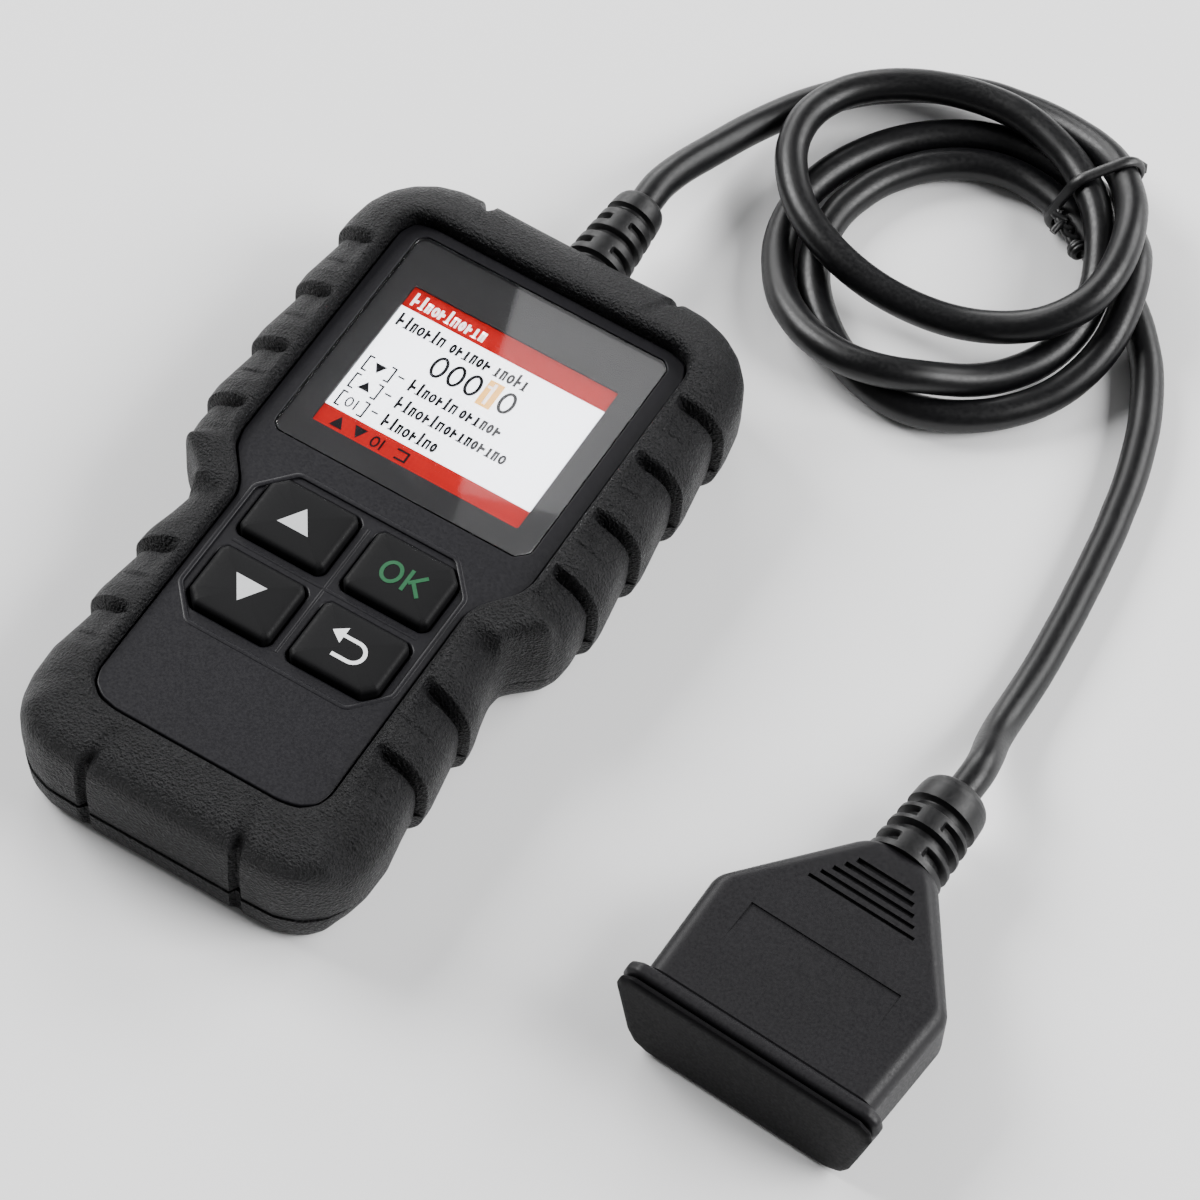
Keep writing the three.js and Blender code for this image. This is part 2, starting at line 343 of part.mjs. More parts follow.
const LEAD_IN_LAST = 14; // index of the last route point of the straight lead
const LEAD_OUT_FIRST = 150;
const COIL_CENTRE = [43, 97];
const TIE_ANGLE = 0.98; // direction of the tie from the coil centre, radians
{
  const pts = ROUTE.map(([x, y, z]) => new THREE.Vector3(x, y, z));
  const coilPts = pts.slice(11, 149);
  // The coil as one ring: at each direction from its centre, the box that holds every turn, with cut corners.
  const N = 40, r = CABLE_R + 0.15;
  const dense = [];
  for (let i = 0; i + 1 < coilPts.length; i++)
    for (let t = 0; t < 4; t++) dense.push(coilPts[i].clone().lerp(coilPts[i + 1], t / 4));
  const span = [];
  for (let k = 0; k < N; k++) {
    const a = (k / N) * 2 * Math.PI, half = Math.PI / N * 1.15;
    let r0 = 1e9, r1 = 0, z0 = 1e9, z1 = 0;
    for (const p of dense) {
      const dx = p.x - COIL_CENTRE[0], dy = p.y - COIL_CENTRE[1];
      let d = Math.atan2(dy, dx) - a;
      d = Math.atan2(Math.sin(d), Math.cos(d));
      if (Math.abs(d) > half) continue;
      const q = Math.hypot(dx, dy);
      r0 = Math.min(r0, q - r); r1 = Math.max(r1, q + r); z0 = Math.min(z0, p.z - r); z1 = Math.max(z1, p.z + r);
    }
    let dt = a - TIE_ANGLE;
    dt = Math.atan2(Math.sin(dt), Math.cos(dt));
    const lift = 1.25 * Math.exp(-((dt / 0.16) ** 2));
    span.push([a, r0, r1, Math.max(0.02, z0 - 0.1) + lift, z1]);
  }
  const sections = span.map(([a, r0, r1, z0, z1]) => {
    const c = Math.min(2, (r1 - r0) / 4, (z1 - z0) / 3);
    return [[r0 + c, z0], [r1 - c, z0], [r1, z0 + c], [r1, z1 - c], [r1 - c, z1], [r0 + c, z1], [r0, z1 - c], [r0, z0 + c]].map(([q, z]) => [
      COIL_CENTRE[0] + q * Math.cos(a), COIL_CENTRE[1] + q * Math.sin(a), z,
    ]).reverse();
  });
  const coil = ringLoft(sections);
  // The tie: a band round the section in its own direction.
  const at = span[Math.round((TIE_ANGLE / (2 * Math.PI)) * N)];
  const [, q0, q1, w0, w1] = at;
  const bandSection = (g) => [[q0 - g, w0 - g], [q1 + g, w0 - g], [q1 + g, w1 + g], [q0 - g, w1 + g]];
  const wide = 1.0;
  const shellRing = new THREE.Shape(bandSection(1.15).map(([x, y]) => new THREE.Vector2(x, y)));
  shellRing.holes.push(new THREE.Path(bandSection(0.4).map(([x, y]) => new THREE.Vector2(x, y))));
  const bandGeo = new THREE.ExtrudeGeometry(shellRing, { depth: 2 * wide, bevelEnabled: false });
  bandGeo.translate(0, 0, -wide);
  // section plane: u along the radius, v up, extruded along the tangent
  const a = at[0];
  const basis = new THREE.Matrix4().makeBasis(
    new THREE.Vector3(Math.cos(a), Math.sin(a), 0), new THREE.Vector3(0, 0, 1), new THREE.Vector3(Math.sin(a), -Math.cos(a), 0));
  bandGeo.applyMatrix4(basis);
  bandGeo.translate(COIL_CENTRE[0], COIL_CENTRE[1], 0);
  const tails = [];
  for (const [du, dv] of [[-2.6, 1.0], [-2.4, -2.4]]) {
    const curve = new THREE.LineCurve3(new THREE.Vector3(q0 - 0.8, 6.5, 0), new THREE.Vector3(q0 - 0.8 + du, 6.5 + dv, 0.6));
    const circ = new THREE.Shape(Array.from({ length: 8 }, (_, i) => new THREE.Vector2(0.75 * Math.cos((i * Math.PI) / 4), 0.75 * Math.sin((i * Math.PI) / 4))));
    const t = new THREE.ExtrudeGeometry(circ, { steps: 1, extrudePath: curve, bevelEnabled: false });
    t.applyMatrix4(basis);
    t.translate(COIL_CENTRE[0], COIL_CENTRE[1], 0);
    tails.push(solid(t));
  }
  const band = join(solid(bandGeo), ...tails);
  // Free stretches of the cable.
  const section = new THREE.Shape(Array.from({ length: 10 }, (_, i) => new THREE.Vector2(CABLE_R * Math.cos((i * Math.PI) / 5), CABLE_R * Math.sin((i * Math.PI) / 5))));
  const tube = (list, steps) => solid(new THREE.ExtrudeGeometry(section, { steps, extrudePath: new THREE.CatmullRomCurve3(list), bevelEnabled: false }));
  const grown = ringLoft(span.map(([a, r0, r1, z0, z1]) => [[r0 - GAP, -2], [r1 + GAP, -2], [r1 + GAP, z1 + 3], [r0 - GAP, z1 + 3]].map(([q, z]) => [
    COIL_CENTRE[0] + q * Math.cos(a), COIL_CENTRE[1] + q * Math.sin(a), z]).reverse()));
  const biggest = (s) => s.decompose().sort((x, y) => y.volume() - x.volume())[0];
  const leadIn = biggest(cut(tube([...pts.slice(0, LEAD_IN_LAST)], 18), grown));
  const leadOut = biggest(cut(tube([...pts.slice(LEAD_OUT_FIRST - 8)], 30), grown));
  add("cable_lead_in", leadIn, M.cable);
  add("cable_coil", coil, M.cable);
  add("cable_tie", band, M.tie);
  add("cable_lead_out", leadOut, M.cable);
}


// ---- connector ----
const plug = new THREE.Group();
plug.position.set(PLUG.x, PLUG.y, PLUG.z);
plug.rotation.z = THREE.MathUtils.degToRad(PLUG.turn);
root.add(plug);
// D outline of the connector across its axis: wide at the top, cut corners below.
function dee(d, up = 0) {
  const a = PLUG.w / 2 - d, b = PLUG.h / 2 - d;
  return [
    [-a + 3.6, -b], [a - 3.6, -b], [a - 1.6, -b + 1.2], [a - 0.7, -b + 4], [a, b - 3.2], [a - 0.5, b - 1.2], [a - 2.2, b + up],
    [-a + 2.2, b + up], [-a + 0.5, b - 1.2], [-a, b - 3.2], [-a + 0.7, -b + 4], [-a + 1.6, -b + 1.2],
  ];
}
// Sections across the plug axis, stacked along it: [distance behind the front, outline].
function along(sections) {
  const s = loft(sections.map(([y, o]) => o.map(([x, z]) => [x, z, -y])));
  return s.transform([1, 0, 0, 0, 0, 0, 1, 0, 0, -1, 0, 0, 0, 0, 0, 1]);
}
// Body section of half width a, half height b.
function body(a, b, c) {
  return [
    [-a + c, -b], [a - c, -b], [a - c * 0.3, -b + c * 0.3], [a, -b + c], [a, b - c], [a - c * 0.3, b - c * 0.3], [a - c, b],
    [-a + c, b], [-a + c * 0.3, b - c * 0.3], [-a, b - c], [-a, -b + c], [-a + c * 0.3, -b + c * 0.3],
  ];
}
{
  let s = along([
    [41.2, body(5.6, 5.0, 2.6)], [40.2, body(6.2, 5.4, 2.6)], [23.6, body(19.0, 7.0, 3)], [21.6, body(19.7, 7.1, 3)], [4.6, body(18.9, 7.3, 3)],
    [4.2, body(18.7, 7.2, 3)], [4.0, dee(0.7)], [3.5, dee(0.05)], [2.1, dee(0)], [1.6, dee(0.5)],
  ].sort((a, b) => b[0] - a[0]));
  // mouth
  s = cut(s, along([[20.2, dee(3.2)], [0, dee(3.2)]]));
  // five finger lines and the label recess on the top face
  for (let i = 0; i < 5; i++) {
    const y = 36.4 - 1.58 * i, w = 4.7 + 1.05 * i, z = 7 - ((y - 23.6) / 16.6) * 1.6;
    s = cut(s, box(-w, w, y - 0.36, y + 0.36, z - 0.6, 10));
  }
  add("plug_housing", s, M.plug, plug);
}
{
  // insert that carries the contacts, pushed to the bottom of the mouth
  let s = along([[19.9, dee(3.5)], [13.2, dee(3.5)]]);
  for (const z of [-3.6, 3.6]) s = cut(s, box(-15.5, 15.5, 12, 21, z - 0.95, z + 0.95));
  add("connector_insert", s, M.plug, plug);
}
for (const [name, z] of [["contact_row_upper", 3.6], ["contact_row_lower", -3.6]]) {
  // eight blades on one carrier bar inside the insert
  let s = box(-15.1, 15.1, 14.5, 18.5, z - 0.6, z + 0.6);
  for (let i = 0; i < 8; i++) {
    const x = -14 + 4 * i;
    s = join(s, box(x - 0.75, x + 0.75, 6.4, 15, z - 0.35, z + 0.35));
  }
  add(name, s, M.brassy, plug);
}
{
  // cover over the mouth: plate, rounded rim and collar
  const plate = along([[1.3, dee(0.45)], [0.5, dee(0.3)], [0, dee(1.0)]]);
  const collar = cut(along([[6.0, dee(3.5)], [1.0, dee(3.5)]]), along([[7, dee(4.5)], [1.3, dee(4.5)]]));
  add("dust_cap", join(plate, collar), M.plug, plug);
}
{
  const y0 = 41.5;
  const pr = [[0, 0], [6.2, 0], [6.2, 1.0], [5.2, 1.2], [5.2, 2.3], [6.1, 2.5], [6.1, 3.6], [5.2, 3.8], [5.2, 4.9], [6.0, 5.1], [5.9, 6.2], [5.1, 6.4], [5.1, 7.5],
    [5.8, 7.7], [5.75, 8.9], [5.0, 9.1], [5.0, 10.2], [5.7, 10.4], [5.6, 13.4], [5.2, 14.9], [3.9, 15.9], [0, 15.9]];
  add("plug_relief", turned(pr, 16).translate([0, y0, 0.1]), M.cable, plug);
}

export default root;
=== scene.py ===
import math

import bmesh
import bpy
import numpy as np
from mathutils import Matrix, Vector


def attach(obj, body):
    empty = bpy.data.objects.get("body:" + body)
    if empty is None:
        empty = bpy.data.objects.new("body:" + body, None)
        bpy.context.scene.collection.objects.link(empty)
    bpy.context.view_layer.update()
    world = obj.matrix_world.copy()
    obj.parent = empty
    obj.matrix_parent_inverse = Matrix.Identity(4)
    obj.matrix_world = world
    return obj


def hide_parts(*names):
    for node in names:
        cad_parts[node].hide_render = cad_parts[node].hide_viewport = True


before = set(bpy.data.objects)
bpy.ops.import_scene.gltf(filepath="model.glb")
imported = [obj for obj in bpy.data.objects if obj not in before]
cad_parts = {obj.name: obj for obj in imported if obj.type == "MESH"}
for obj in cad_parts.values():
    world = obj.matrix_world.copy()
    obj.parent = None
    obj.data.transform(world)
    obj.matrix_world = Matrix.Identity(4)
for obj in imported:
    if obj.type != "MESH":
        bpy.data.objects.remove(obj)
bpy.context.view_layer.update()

MM = 0.001
scene = bpy.context.scene

# ------------------------------------------------------------------ camera
AZ, EL, ROLL = math.radians(27.079), math.radians(57.697), math.radians(4.967)
TARGET = Vector((0.028961, 0.015491, 0.0))
DIST = 0.787239
back = Vector((math.sin(AZ) * math.cos(EL), -math.cos(AZ) * math.cos(EL), math.sin(EL)))
fwd = -back
right0 = fwd.cross(Vector((0, 0, 1))).normalized()
up0 = right0.cross(fwd)
cam_right = math.cos(ROLL) * right0 + math.sin(ROLL) * up0
cam_up = -math.sin(ROLL) * right0 + math.cos(ROLL) * up0
cam_data = bpy.data.cameras.new("camera")
cam_data.sensor_fit = "HORIZONTAL"
cam_data.sensor_width = 36.0
cam_data.lens = 5281.694 / 1200.0 * 36.0
cam_data.clip_start = 0.02
cam_data.clip_end = 20.0
camera = bpy.data.objects.new("camera", cam_data)
scene.collection.objects.link(camera)
rot = Matrix((cam_right, cam_up, back)).transposed()
camera.matrix_world = Matrix.Translation(TARGET + back * DIST) @ rot.to_4x4()
scene.camera = camera


# ------------------------------------------------------------------ material helpers
class Nodes:
    """A Principled material with object-space texture coordinates."""

    def __init__(self, name, base=(0.5, 0.5, 0.5), rough=0.5, metal=0.0, ior=1.5, spec=0.5):
        self.m = bpy.data.materials.new(name)
        self.m.use_nodes = True
        self.t = self.m.node_tree
        self.t.nodes.clear()
        self.out = self.t.nodes.new("ShaderNodeOutputMaterial")
        self.b = self.t.nodes.new("ShaderNodeBsdfPrincipled")
        self.link(self.b.outputs[0], self.out.inputs["Surface"])
        self.b.inputs["Base Color"].default_value = (*base, 1)
        self.b.inputs["Roughness"].default_value = rough
        self.b.inputs["Metallic"].default_value = metal
        self.b.inputs["IOR"].default_value = ior
        self.b.inputs["Specular IOR Level"].default_value = spec
        self.tc = self.t.nodes.new("ShaderNodeTexCoord")
        self.m.diffuse_color = (*base, 1)

    def link(self, a, b):
        self.t.links.new(a, b)

    def noise(self, scale, detail=3.0, rough=0.55, dist=0.0):
        n = self.t.nodes.new("ShaderNodeTexNoise")
        n.inputs["Scale"].default_value = scale
        n.inputs["Detail"].default_value = detail
        n.inputs["Roughness"].default_value = rough
        n.inputs["Distortion"].default_value = dist
        self.link(self.tc.outputs["Object"], n.inputs["Vector"])
        return n.outputs[0]

    def voronoi(self, scale, feature="SMOOTH_F1", smooth=0.5):
        n = self.t.nodes.new("ShaderNodeTexVoronoi")
        n.feature = feature
        n.inputs["Scale"].default_value = scale
        if "Smoothness" in n.inputs:
            n.inputs["Smoothness"].default_value = smooth
        self.link(self.tc.outputs["Object"], n.inputs["Vector"])
        return n.outputs["Distance"]

    def wave(self, scale, direction="X", dist=0.0):
        n = self.t.nodes.new("ShaderNodeTexWave")
        n.bands_direction = direction
        n.inputs["Scale"].default_value = scale
        n.inputs["Distortion"].default_value = dist
        self.link(self.tc.outputs["Object"], n.inputs["Vector"])
        return n.outputs["Fac"]

    def ramp(self, fac, stops):
        n = self.t.nodes.new("ShaderNodeValToRGB")
        e = n.color_ramp.elements
        while len(e) < len(stops):
            e.new(0.5)
        for i, (p, c) in enumerate(stops):
            e[i].position = p
            e[i].color = (*c, 1) if len(c) == 3 else c
        self.link(fac, n.inputs["Fac"])
        return n.outputs["Color"]

    def maprange(self, v, a, b, c, d):
        n = self.t.nodes.new("ShaderNodeMapRange")
        n.inputs["From Min"].default_value = a
        n.inputs["From Max"].default_value = b
        n.inputs["To Min"].default_value = c
        n.inputs["To Max"].default_value = d
        self.link(v, n.inputs["Value"])
        return n.outputs["Result"]

    def math(self, op, a, b=None, vb=None):
        n = self.t.nodes.new("ShaderNodeMath")
        n.operation = op
        self.link(a, n.inputs[0])
        if b is not None:
            self.link(b, n.inputs[1])
        if vb is not None:
            n.inputs[1].default_value = vb
        return n.outputs[0]

    def color(self, socket):
        self.link(socket, self.b.inputs["Base Color"])

    def rough(self, socket):
        self.link(socket, self.b.inputs["Roughness"])

    def bump(self, height, strength, dist, under=None):
        n = self.t.nodes.new("ShaderNodeBump")
        n.inputs["Strength"].default_value = strength
        n.inputs["Distance"].default_value = dist
        self.link(height, n.inputs["Height"])
        if under is not None:
            self.link(under, n.inputs["Normal"])
        self.link(n.outputs[0], self.b.inputs["Normal"])
        return n.outputs[0]


def scaled(c, k):
    return tuple(min(1.0, v * k) for v in c)


def moulded(name, base, rough, grain=1500.0, strength=0.35, depth=0.00012, vary=0.25, spec=0.5, ior=1.5, broad=60.0):
    """Moulded plastic or rubber: fine grain and broad colour drift."""
    n = Nodes(name, base, rough, spec=spec, ior=ior)
    drift = n.noise(broad, 2.0)
    fine = n.noise(grain, 3.0, 0.6)
    both = n.math("MULTIPLY", drift, n.maprange(fine, 0.3, 0.7, 0.8, 1.2))
    n.color(n.ramp(both, [(0.25, scaled(base, 1 - vary)), (0.75, scaled(base, 1 + vary))]))
    n.rough(n.maprange(fine, 0.3, 0.7, max(0.02, rough - 0.08), min(1.0, rough + 0.08)))
    n.bump(fine, strength, depth)
    return n.m


def stippled(name, base, rough):
    """Coarse spark-eroded stipple of the outer case."""
    n = Nodes(name, base, rough, spec=0.2)
    cells = n.voronoi(2500.0, "SMOOTH_F1", 0.65)
    cloud = n.noise(2300.0, 2.0, 0.6, 0.0)
    fine = n.noise(5200.0, 2.0, 0.5)
    h = n.math("ADD", n.maprange(cells, 0.0, 0.7, 1.0, 0.0), n.maprange(cloud, 0.35, 0.65, 0.0, 1.0))
    h2 = n.math("ADD", h, n.maprange(fine, 0.3, 0.7, 0.0, 0.25))
    drift = n.noise(70.0, 2.0)
    c = n.math("MULTIPLY", n.maprange(drift, 0.3, 0.7, 0.75, 1.25), n.maprange(h, 0.4, 1.8, 0.6, 1.35))
    n.color(n.ramp(c, [(0.35, scaled(base, 0.5)), (0.95, scaled(base, 1.5))]))
    n.rough(n.maprange(h, 0.5, 1.7, min(1.0, rough + 0.12), rough - 0.08))
    n.bump(h2, 1.0, 0.0002)
    return n.m


def brushed(name, base, rough, metal=1.0):
    n = Nodes(name, base, rough, metal)
    w = n.noise(2500.0, 2.0, 0.5, 0.8)
    d = n.noise(300.0, 2.0)
    n.color(n.ramp(d, [(0.3, scaled(base, 0.82)), (0.7, scaled(base, 1.08))]))
    n.rough(n.maprange(w, 0.3, 0.7, rough - 0.08, rough + 0.12))
    n.bump(w, 0.12, 0.00003)
    return n.m


def lit(name, base, strength, emit=None):
    """Lit display colour with the fine dot grid of its picture elements."""
    n = Nodes(name, base, 0.5, spec=0.12)
    gx = n.wave(1250.0 / (2 * math.pi) * 2, "X")
    gy = n.wave(1250.0 / (2 * math.pi) * 2, "Y")
    g = n.math("MULTIPLY", n.maprange(gx, 0.0, 1.0, 0.93, 1.0), n.maprange(gy, 0.0, 1.0, 0.93, 1.0))
    col = n.ramp(g, [(0.84, scaled(base, 0.9)), (1.0, base)])
    n.color(col)
    n.link(col, n.b.inputs["Emission Color"])
    n.b.inputs["Emission Strength"].default_value = strength
    return n.m


MAT = {
    "shell": stippled("case_stipple", (0.0031, 0.0031, 0.0037), 0.40),
    "panel": moulded("panel_satin", (0.0068, 0.0065, 0.0084), 0.42, 2600.0, 0.10, 0.00004, 0.10, 0.28),
    "silicone": moulded("key_silicone", (0.0028, 0.0028, 0.0033), 0.60, 2600.0, 0.12, 0.00004, 0.2, 0.16),
    "cable": moulded("cable_jacket", (0.0022, 0.0022, 0.0027), 0.38, 1700.0, 0.05, 0.00002, 0.2, 0.35),
    "relief": moulded("relief_rubber", (0.0045, 0.0045, 0.005), 0.45, 1900.0, 0.15, 0.00005, 0.2, 0.34),
    "plug": moulded("plug_moulding", (0.0064, 0.0060, 0.0072), 0.48, 2100.0, 0.14, 0.00005, 0.12, 0.25),
    "cap": moulded("cap_moulding", (0.0020, 0.0018, 0.0023), 0.55, 2100.0, 0.12, 0.00004, 0.12, 0.08),
    "tie": moulded("tie_sleeve", (0.004, 0.004, 0.0045), 0.42, 2500.0, 0.15, 0.00005, 0.2),
    "steel": brushed("screw_steel", (0.30, 0.30, 0.31), 0.34),
    "label": moulded("label_foil", (0.055, 0.055, 0.060), 0.38, 1800.0, 0.06, 0.00003, 0.1),
    "board": moulded("solder_resist", (0.012, 0.10, 0.035), 0.35, 900.0, 0.1, 0.00004, 0.3),
    "chip": moulded("chip_epoxy", (0.018, 0.018, 0.020), 0.5, 2500.0, 0.2, 0.00004),
    "can": brushed("drawn_can", (0.62, 0.63, 0.65), 0.3),
    "nylon": moulded("header_nylon", (0.72, 0.69, 0.58), 0.5, 1500.0, 0.1, 0.00004, 0.08),
    "flex": moulded("flex_film", (0.42, 0.17, 0.03), 0.35, 1200.0, 0.08, 0.00003, 0.15),
    "guide": moulded("light_guide", (0.85, 0.86, 0.88), 0.4, 1200.0, 0.05, 0.00003, 0.04),
    "brass": brushed("contact_gold", (0.78, 0.57, 0.22), 0.25),
    "border": moulded("lens_print", (0.020, 0.020, 0.021), 0.6, 2200.0, 0.0, 0.00001, 0.04),
    "lcd_white": lit("lcd_white", (0.88, 0.90, 0.94), 4.2),
    "lcd_red": lit("lcd_red", (0.66, 0.0006, 0.0008), 0.24),
    "lcd_black": lit("lcd_black", (0.012, 0.012, 0.016), 0.0),
    "lcd_pale": lit("lcd_pale", (0.93, 0.84, 0.84), 2.6),
    "lcd_amber": lit("lcd_amber", (0.95, 0.50, 0.12), 2.2),
    "ink_grey": moulded("ink_grey", (0.52, 0.53, 0.54), 0.5, 3000.0, 0.05, 0.00002, 0.06),
    "ink_white": moulded("ink_white", (0.78, 0.79, 0.80), 0.5, 3000.0, 0.05, 0.00002, 0.05),
    "ink_green": moulded("ink_green", (0.0012, 0.080, 0.024), 0.5, 3000.0, 0.05, 0.00002, 0.08),
}


def clear_glass(name):
    n = Nodes(name, (0.93, 0.93, 0.94), 0.03, ior=1.45)
    n.b.inputs["Transmission Weight"].default_value = 1.0
    f = n.noise(900.0, 2.0)
    n.rough(n.maprange(f, 0.3, 0.7, 0.014, 0.016))
    n.color(n.ramp(f, [(0.0, (0.90, 0.90, 0.92)), (1.0, (0.95, 0.95, 0.96))]))
    return n.m


MAT["lens"] = clear_glass("lens_clear")


# ------------------------------------------------------------------ mesh helpers
def add_mesh(name, verts, faces, mats=(), smooth=True, sharp=None, scale=MM):
    me = bpy.data.meshes.new(name)
    me.from_pydata([(v[0] * scale, v[1] * scale, v[2] * scale) for v in verts], [], [tuple(f) for f in faces])
    me.validate()
    me.update()
    ob = bpy.data.objects.new(name, me)
    scene.collection.objects.link(ob)
    for m in mats:
        me.materials.append(m)
    if smooth:
        me.shade_smooth()
        if sharp:
            me.set_sharp_from_angle(angle=math.radians(sharp))
    return ob


def fix_normals(ob):
    bm = bmesh.new()
    bm.from_mesh(ob.data)
    bmesh.ops.remove_doubles(bm, verts=bm.verts, dist=1e-7)
    bmesh.ops.recalc_face_normals(bm, faces=bm.faces)
    bm.to_mesh(ob.data)
    bm.free()
    ob.data.update()


def loft_data(rings, close=(True, True)):
    n = len(rings[0])
    verts = [p for r in rings for p in r]
    faces = []
    for k in range(len(rings) - 1):
        for i in range(n):
            a, b = k * n + i, k * n + (i + 1) % n
            faces.append((a, b, b + n, a + n))
    if close[0]:
        faces.append(tuple(reversed(range(n))))
    if close[1]:
        faces.append(tuple(range((len(rings) - 1) * n, len(rings) * n)))
    return verts, faces


def loft(name, rings, mats=(), close=(True, True), smooth=True, sharp=30):
    v, f = loft_data(rings, close)
    ob = add_mesh(name, v, f, mats, smooth, None)
    fix_normals(ob)
    if smooth:
        ob.data.shade_smooth()
        if sharp:
            ob.data.set_sharp_from_angle(angle=math.radians(sharp))
    return ob


def baked(ob):
    """Applies the object's modifiers to its mesh."""
    dg = bpy.context.evaluated_depsgraph_get()
    dg.update()
    me = bpy.data.meshes.new_from_object(ob.evaluated_get(dg))
    ob.modifiers.clear()
    old = ob.data
    ob.data = me
    me.name = ob.name
    return ob


def boolean(ob, cutters, op="DIFFERENCE", solver="EXACT"):
    for c in cutters:
        m = ob.modifiers.new("cut", "BOOLEAN")
        m.object = c
        m.operation = op
        m.solver = solver
        baked(ob)
        bpy.data.objects.remove(c)
    return ob


def finish_mesh(ob, sharp=30):
    ob.data.shade_smooth()
    if sharp:
        ob.data.set_sharp_from_angle(angle=math.radians(sharp))


def rounded(pts, radii, seg=6):
    """Polygon with each corner rounded by its radius."""
    n = len(pts)
    if not isinstance(radii, (list, tuple)):
        radii = [radii] * n
    out = []
    for i in range(n):
        p = Vector(pts[i][:2])
        a = Vector(pts[i - 1][:2]) - p
        b = Vector(pts[(i + 1) % n][:2]) - p
        la, lb = a.length, b.length
        a.normalize()
        b.normalize()
        ang = a.angle(b)
        r = radii[i]
        if r <= 0 or ang > math.radians(178):
            out.append((p.x, p.y))
            continue
        d = min(r / math.tan(ang / 2), 0.48 * la, 0.48 * lb)
        r = d * math.tan(ang / 2)
        c = p + (a + b).normalized() * (r / math.sin(ang / 2))
        s, e = p + a * d - c, p + b * d - c
        t = s.angle(e)
        cr = s.x * e.y - s.y * e.x
        for k in range(seg + 1):
            th = t * k / seg * (1 if cr > 0 else -1)
            out.append((c.x + s.x * math.cos(th) - s.y * math.sin(th), c.y + s.x * math.sin(th) + s.y * math.cos(th)))
    return out


def offset_poly(pts, d):
    """Moves each edge of a counter-clockwise polygon inwards by d."""
    n = len(pts)
    out = []
    for i in range(n):
        p0, p1, p2 = Vector(pts[i - 1][:2]), Vector(pts[i][:2]), Vector(pts[(i + 1) % n][:2])
        e1, e2 = (p1 - p0), (p2 - p1)
        if e1.length < 1e-9 or e2.length < 1e-9:
            out.append((p1.x, p1.y))
            continue
        e1.normalize()
        e2.normalize()
        n1, n2 = Vector((-e1.y, e1.x)), Vector((-e2.y, e2.x))
        m = n1 + n2
        if m.length < 1e-6:
            m = n1.copy()
        m.normalize()
        k = d / max(0.35, m.dot(n1))
        out.append((p1.x + m.x * k, p1.y + m.y * k))
    return out


def rect(cx, cy, w, h):
    return [(cx - w / 2, cy - h / 2), (cx + w / 2, cy - h / 2), (cx + w / 2, cy + h / 2), (cx - w / 2, cy + h / 2)]


def slab(name, outline, z0, z1, mats=(), bevel=0.15, top=True, bottom=True, sharp=30, seg=3):
    """Prism of an outline with rounded upper and lower edges."""
    rings = []
    if bottom and bevel:
        rings = []
        for k in range(seg + 1):
            t = k / seg * math.pi / 2
            rings.append([(x, y, z0 + bevel * (1 - math.cos(t))) for x, y in offset_poly(outline, bevel * (1 - math.sin(t)))])
    else:
        rings.append([(x, y, z0) for x, y in outline])
    if top and bevel:
        for k in range(seg + 1):
            t = k / seg * math.pi / 2
            rings.append([(x, y, z1 - bevel * (1 - math.sin(t))) for x, y in offset_poly(outline, bevel * (1 - math.cos(t)))])
    else:
        rings.append([(x, y, z1) for x, y in outline])
    return loft(name, rings, mats, sharp=sharp)


def cutter(outline, z0, z1):
    return loft("cutter", [[(x, y, z0) for x, y in outline], [(x, y, z1) for x, y in outline]], smooth=False)


def weighted(ob, sharp=32):
    """Keeps big flats flat where they meet small rounded edges."""
    finish_mesh(ob, sharp)
    m = ob.modifiers.new("wn", "WEIGHTED_NORMAL")
    m.keep_sharp = True
    m.weight = 90
    return baked(ob)


def smoothstep(a, b, x):
    t = np.clip((np.asarray(x, float) - a) / (b - a), 0, 1)
    return t * t * (3 - 2 * t)


def catmull(points, per):
    """Centripetal-like smooth curve through rows of numbers, per samples in each span."""
    P = np.asarray(points, float)
    Q = np.vstack([2 * P[0] - P[1], P, 2 * P[-1] - P[-2]])
    out = []
    for i in range(1, len(Q) - 2):
        p0, p1, p2, p3 = Q[i - 1], Q[i], Q[i + 1], Q[i + 2]
        for k in range(per):
            t = k / per
            out.append(0.5 * ((2 * p1) + (-p0 + p2) * t + (2 * p0 - 5 * p1 + 4 * p2 - p3) * t * t + (-p0 + 3 * p1 - 3 * p2 + p3) * t ** 3))
    out.append(P[-1])
    return np.array(out)


def dress(ob, body, slot, *nodes):
    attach(ob, body)
    if nodes:
        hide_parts(*nodes)
    return ob


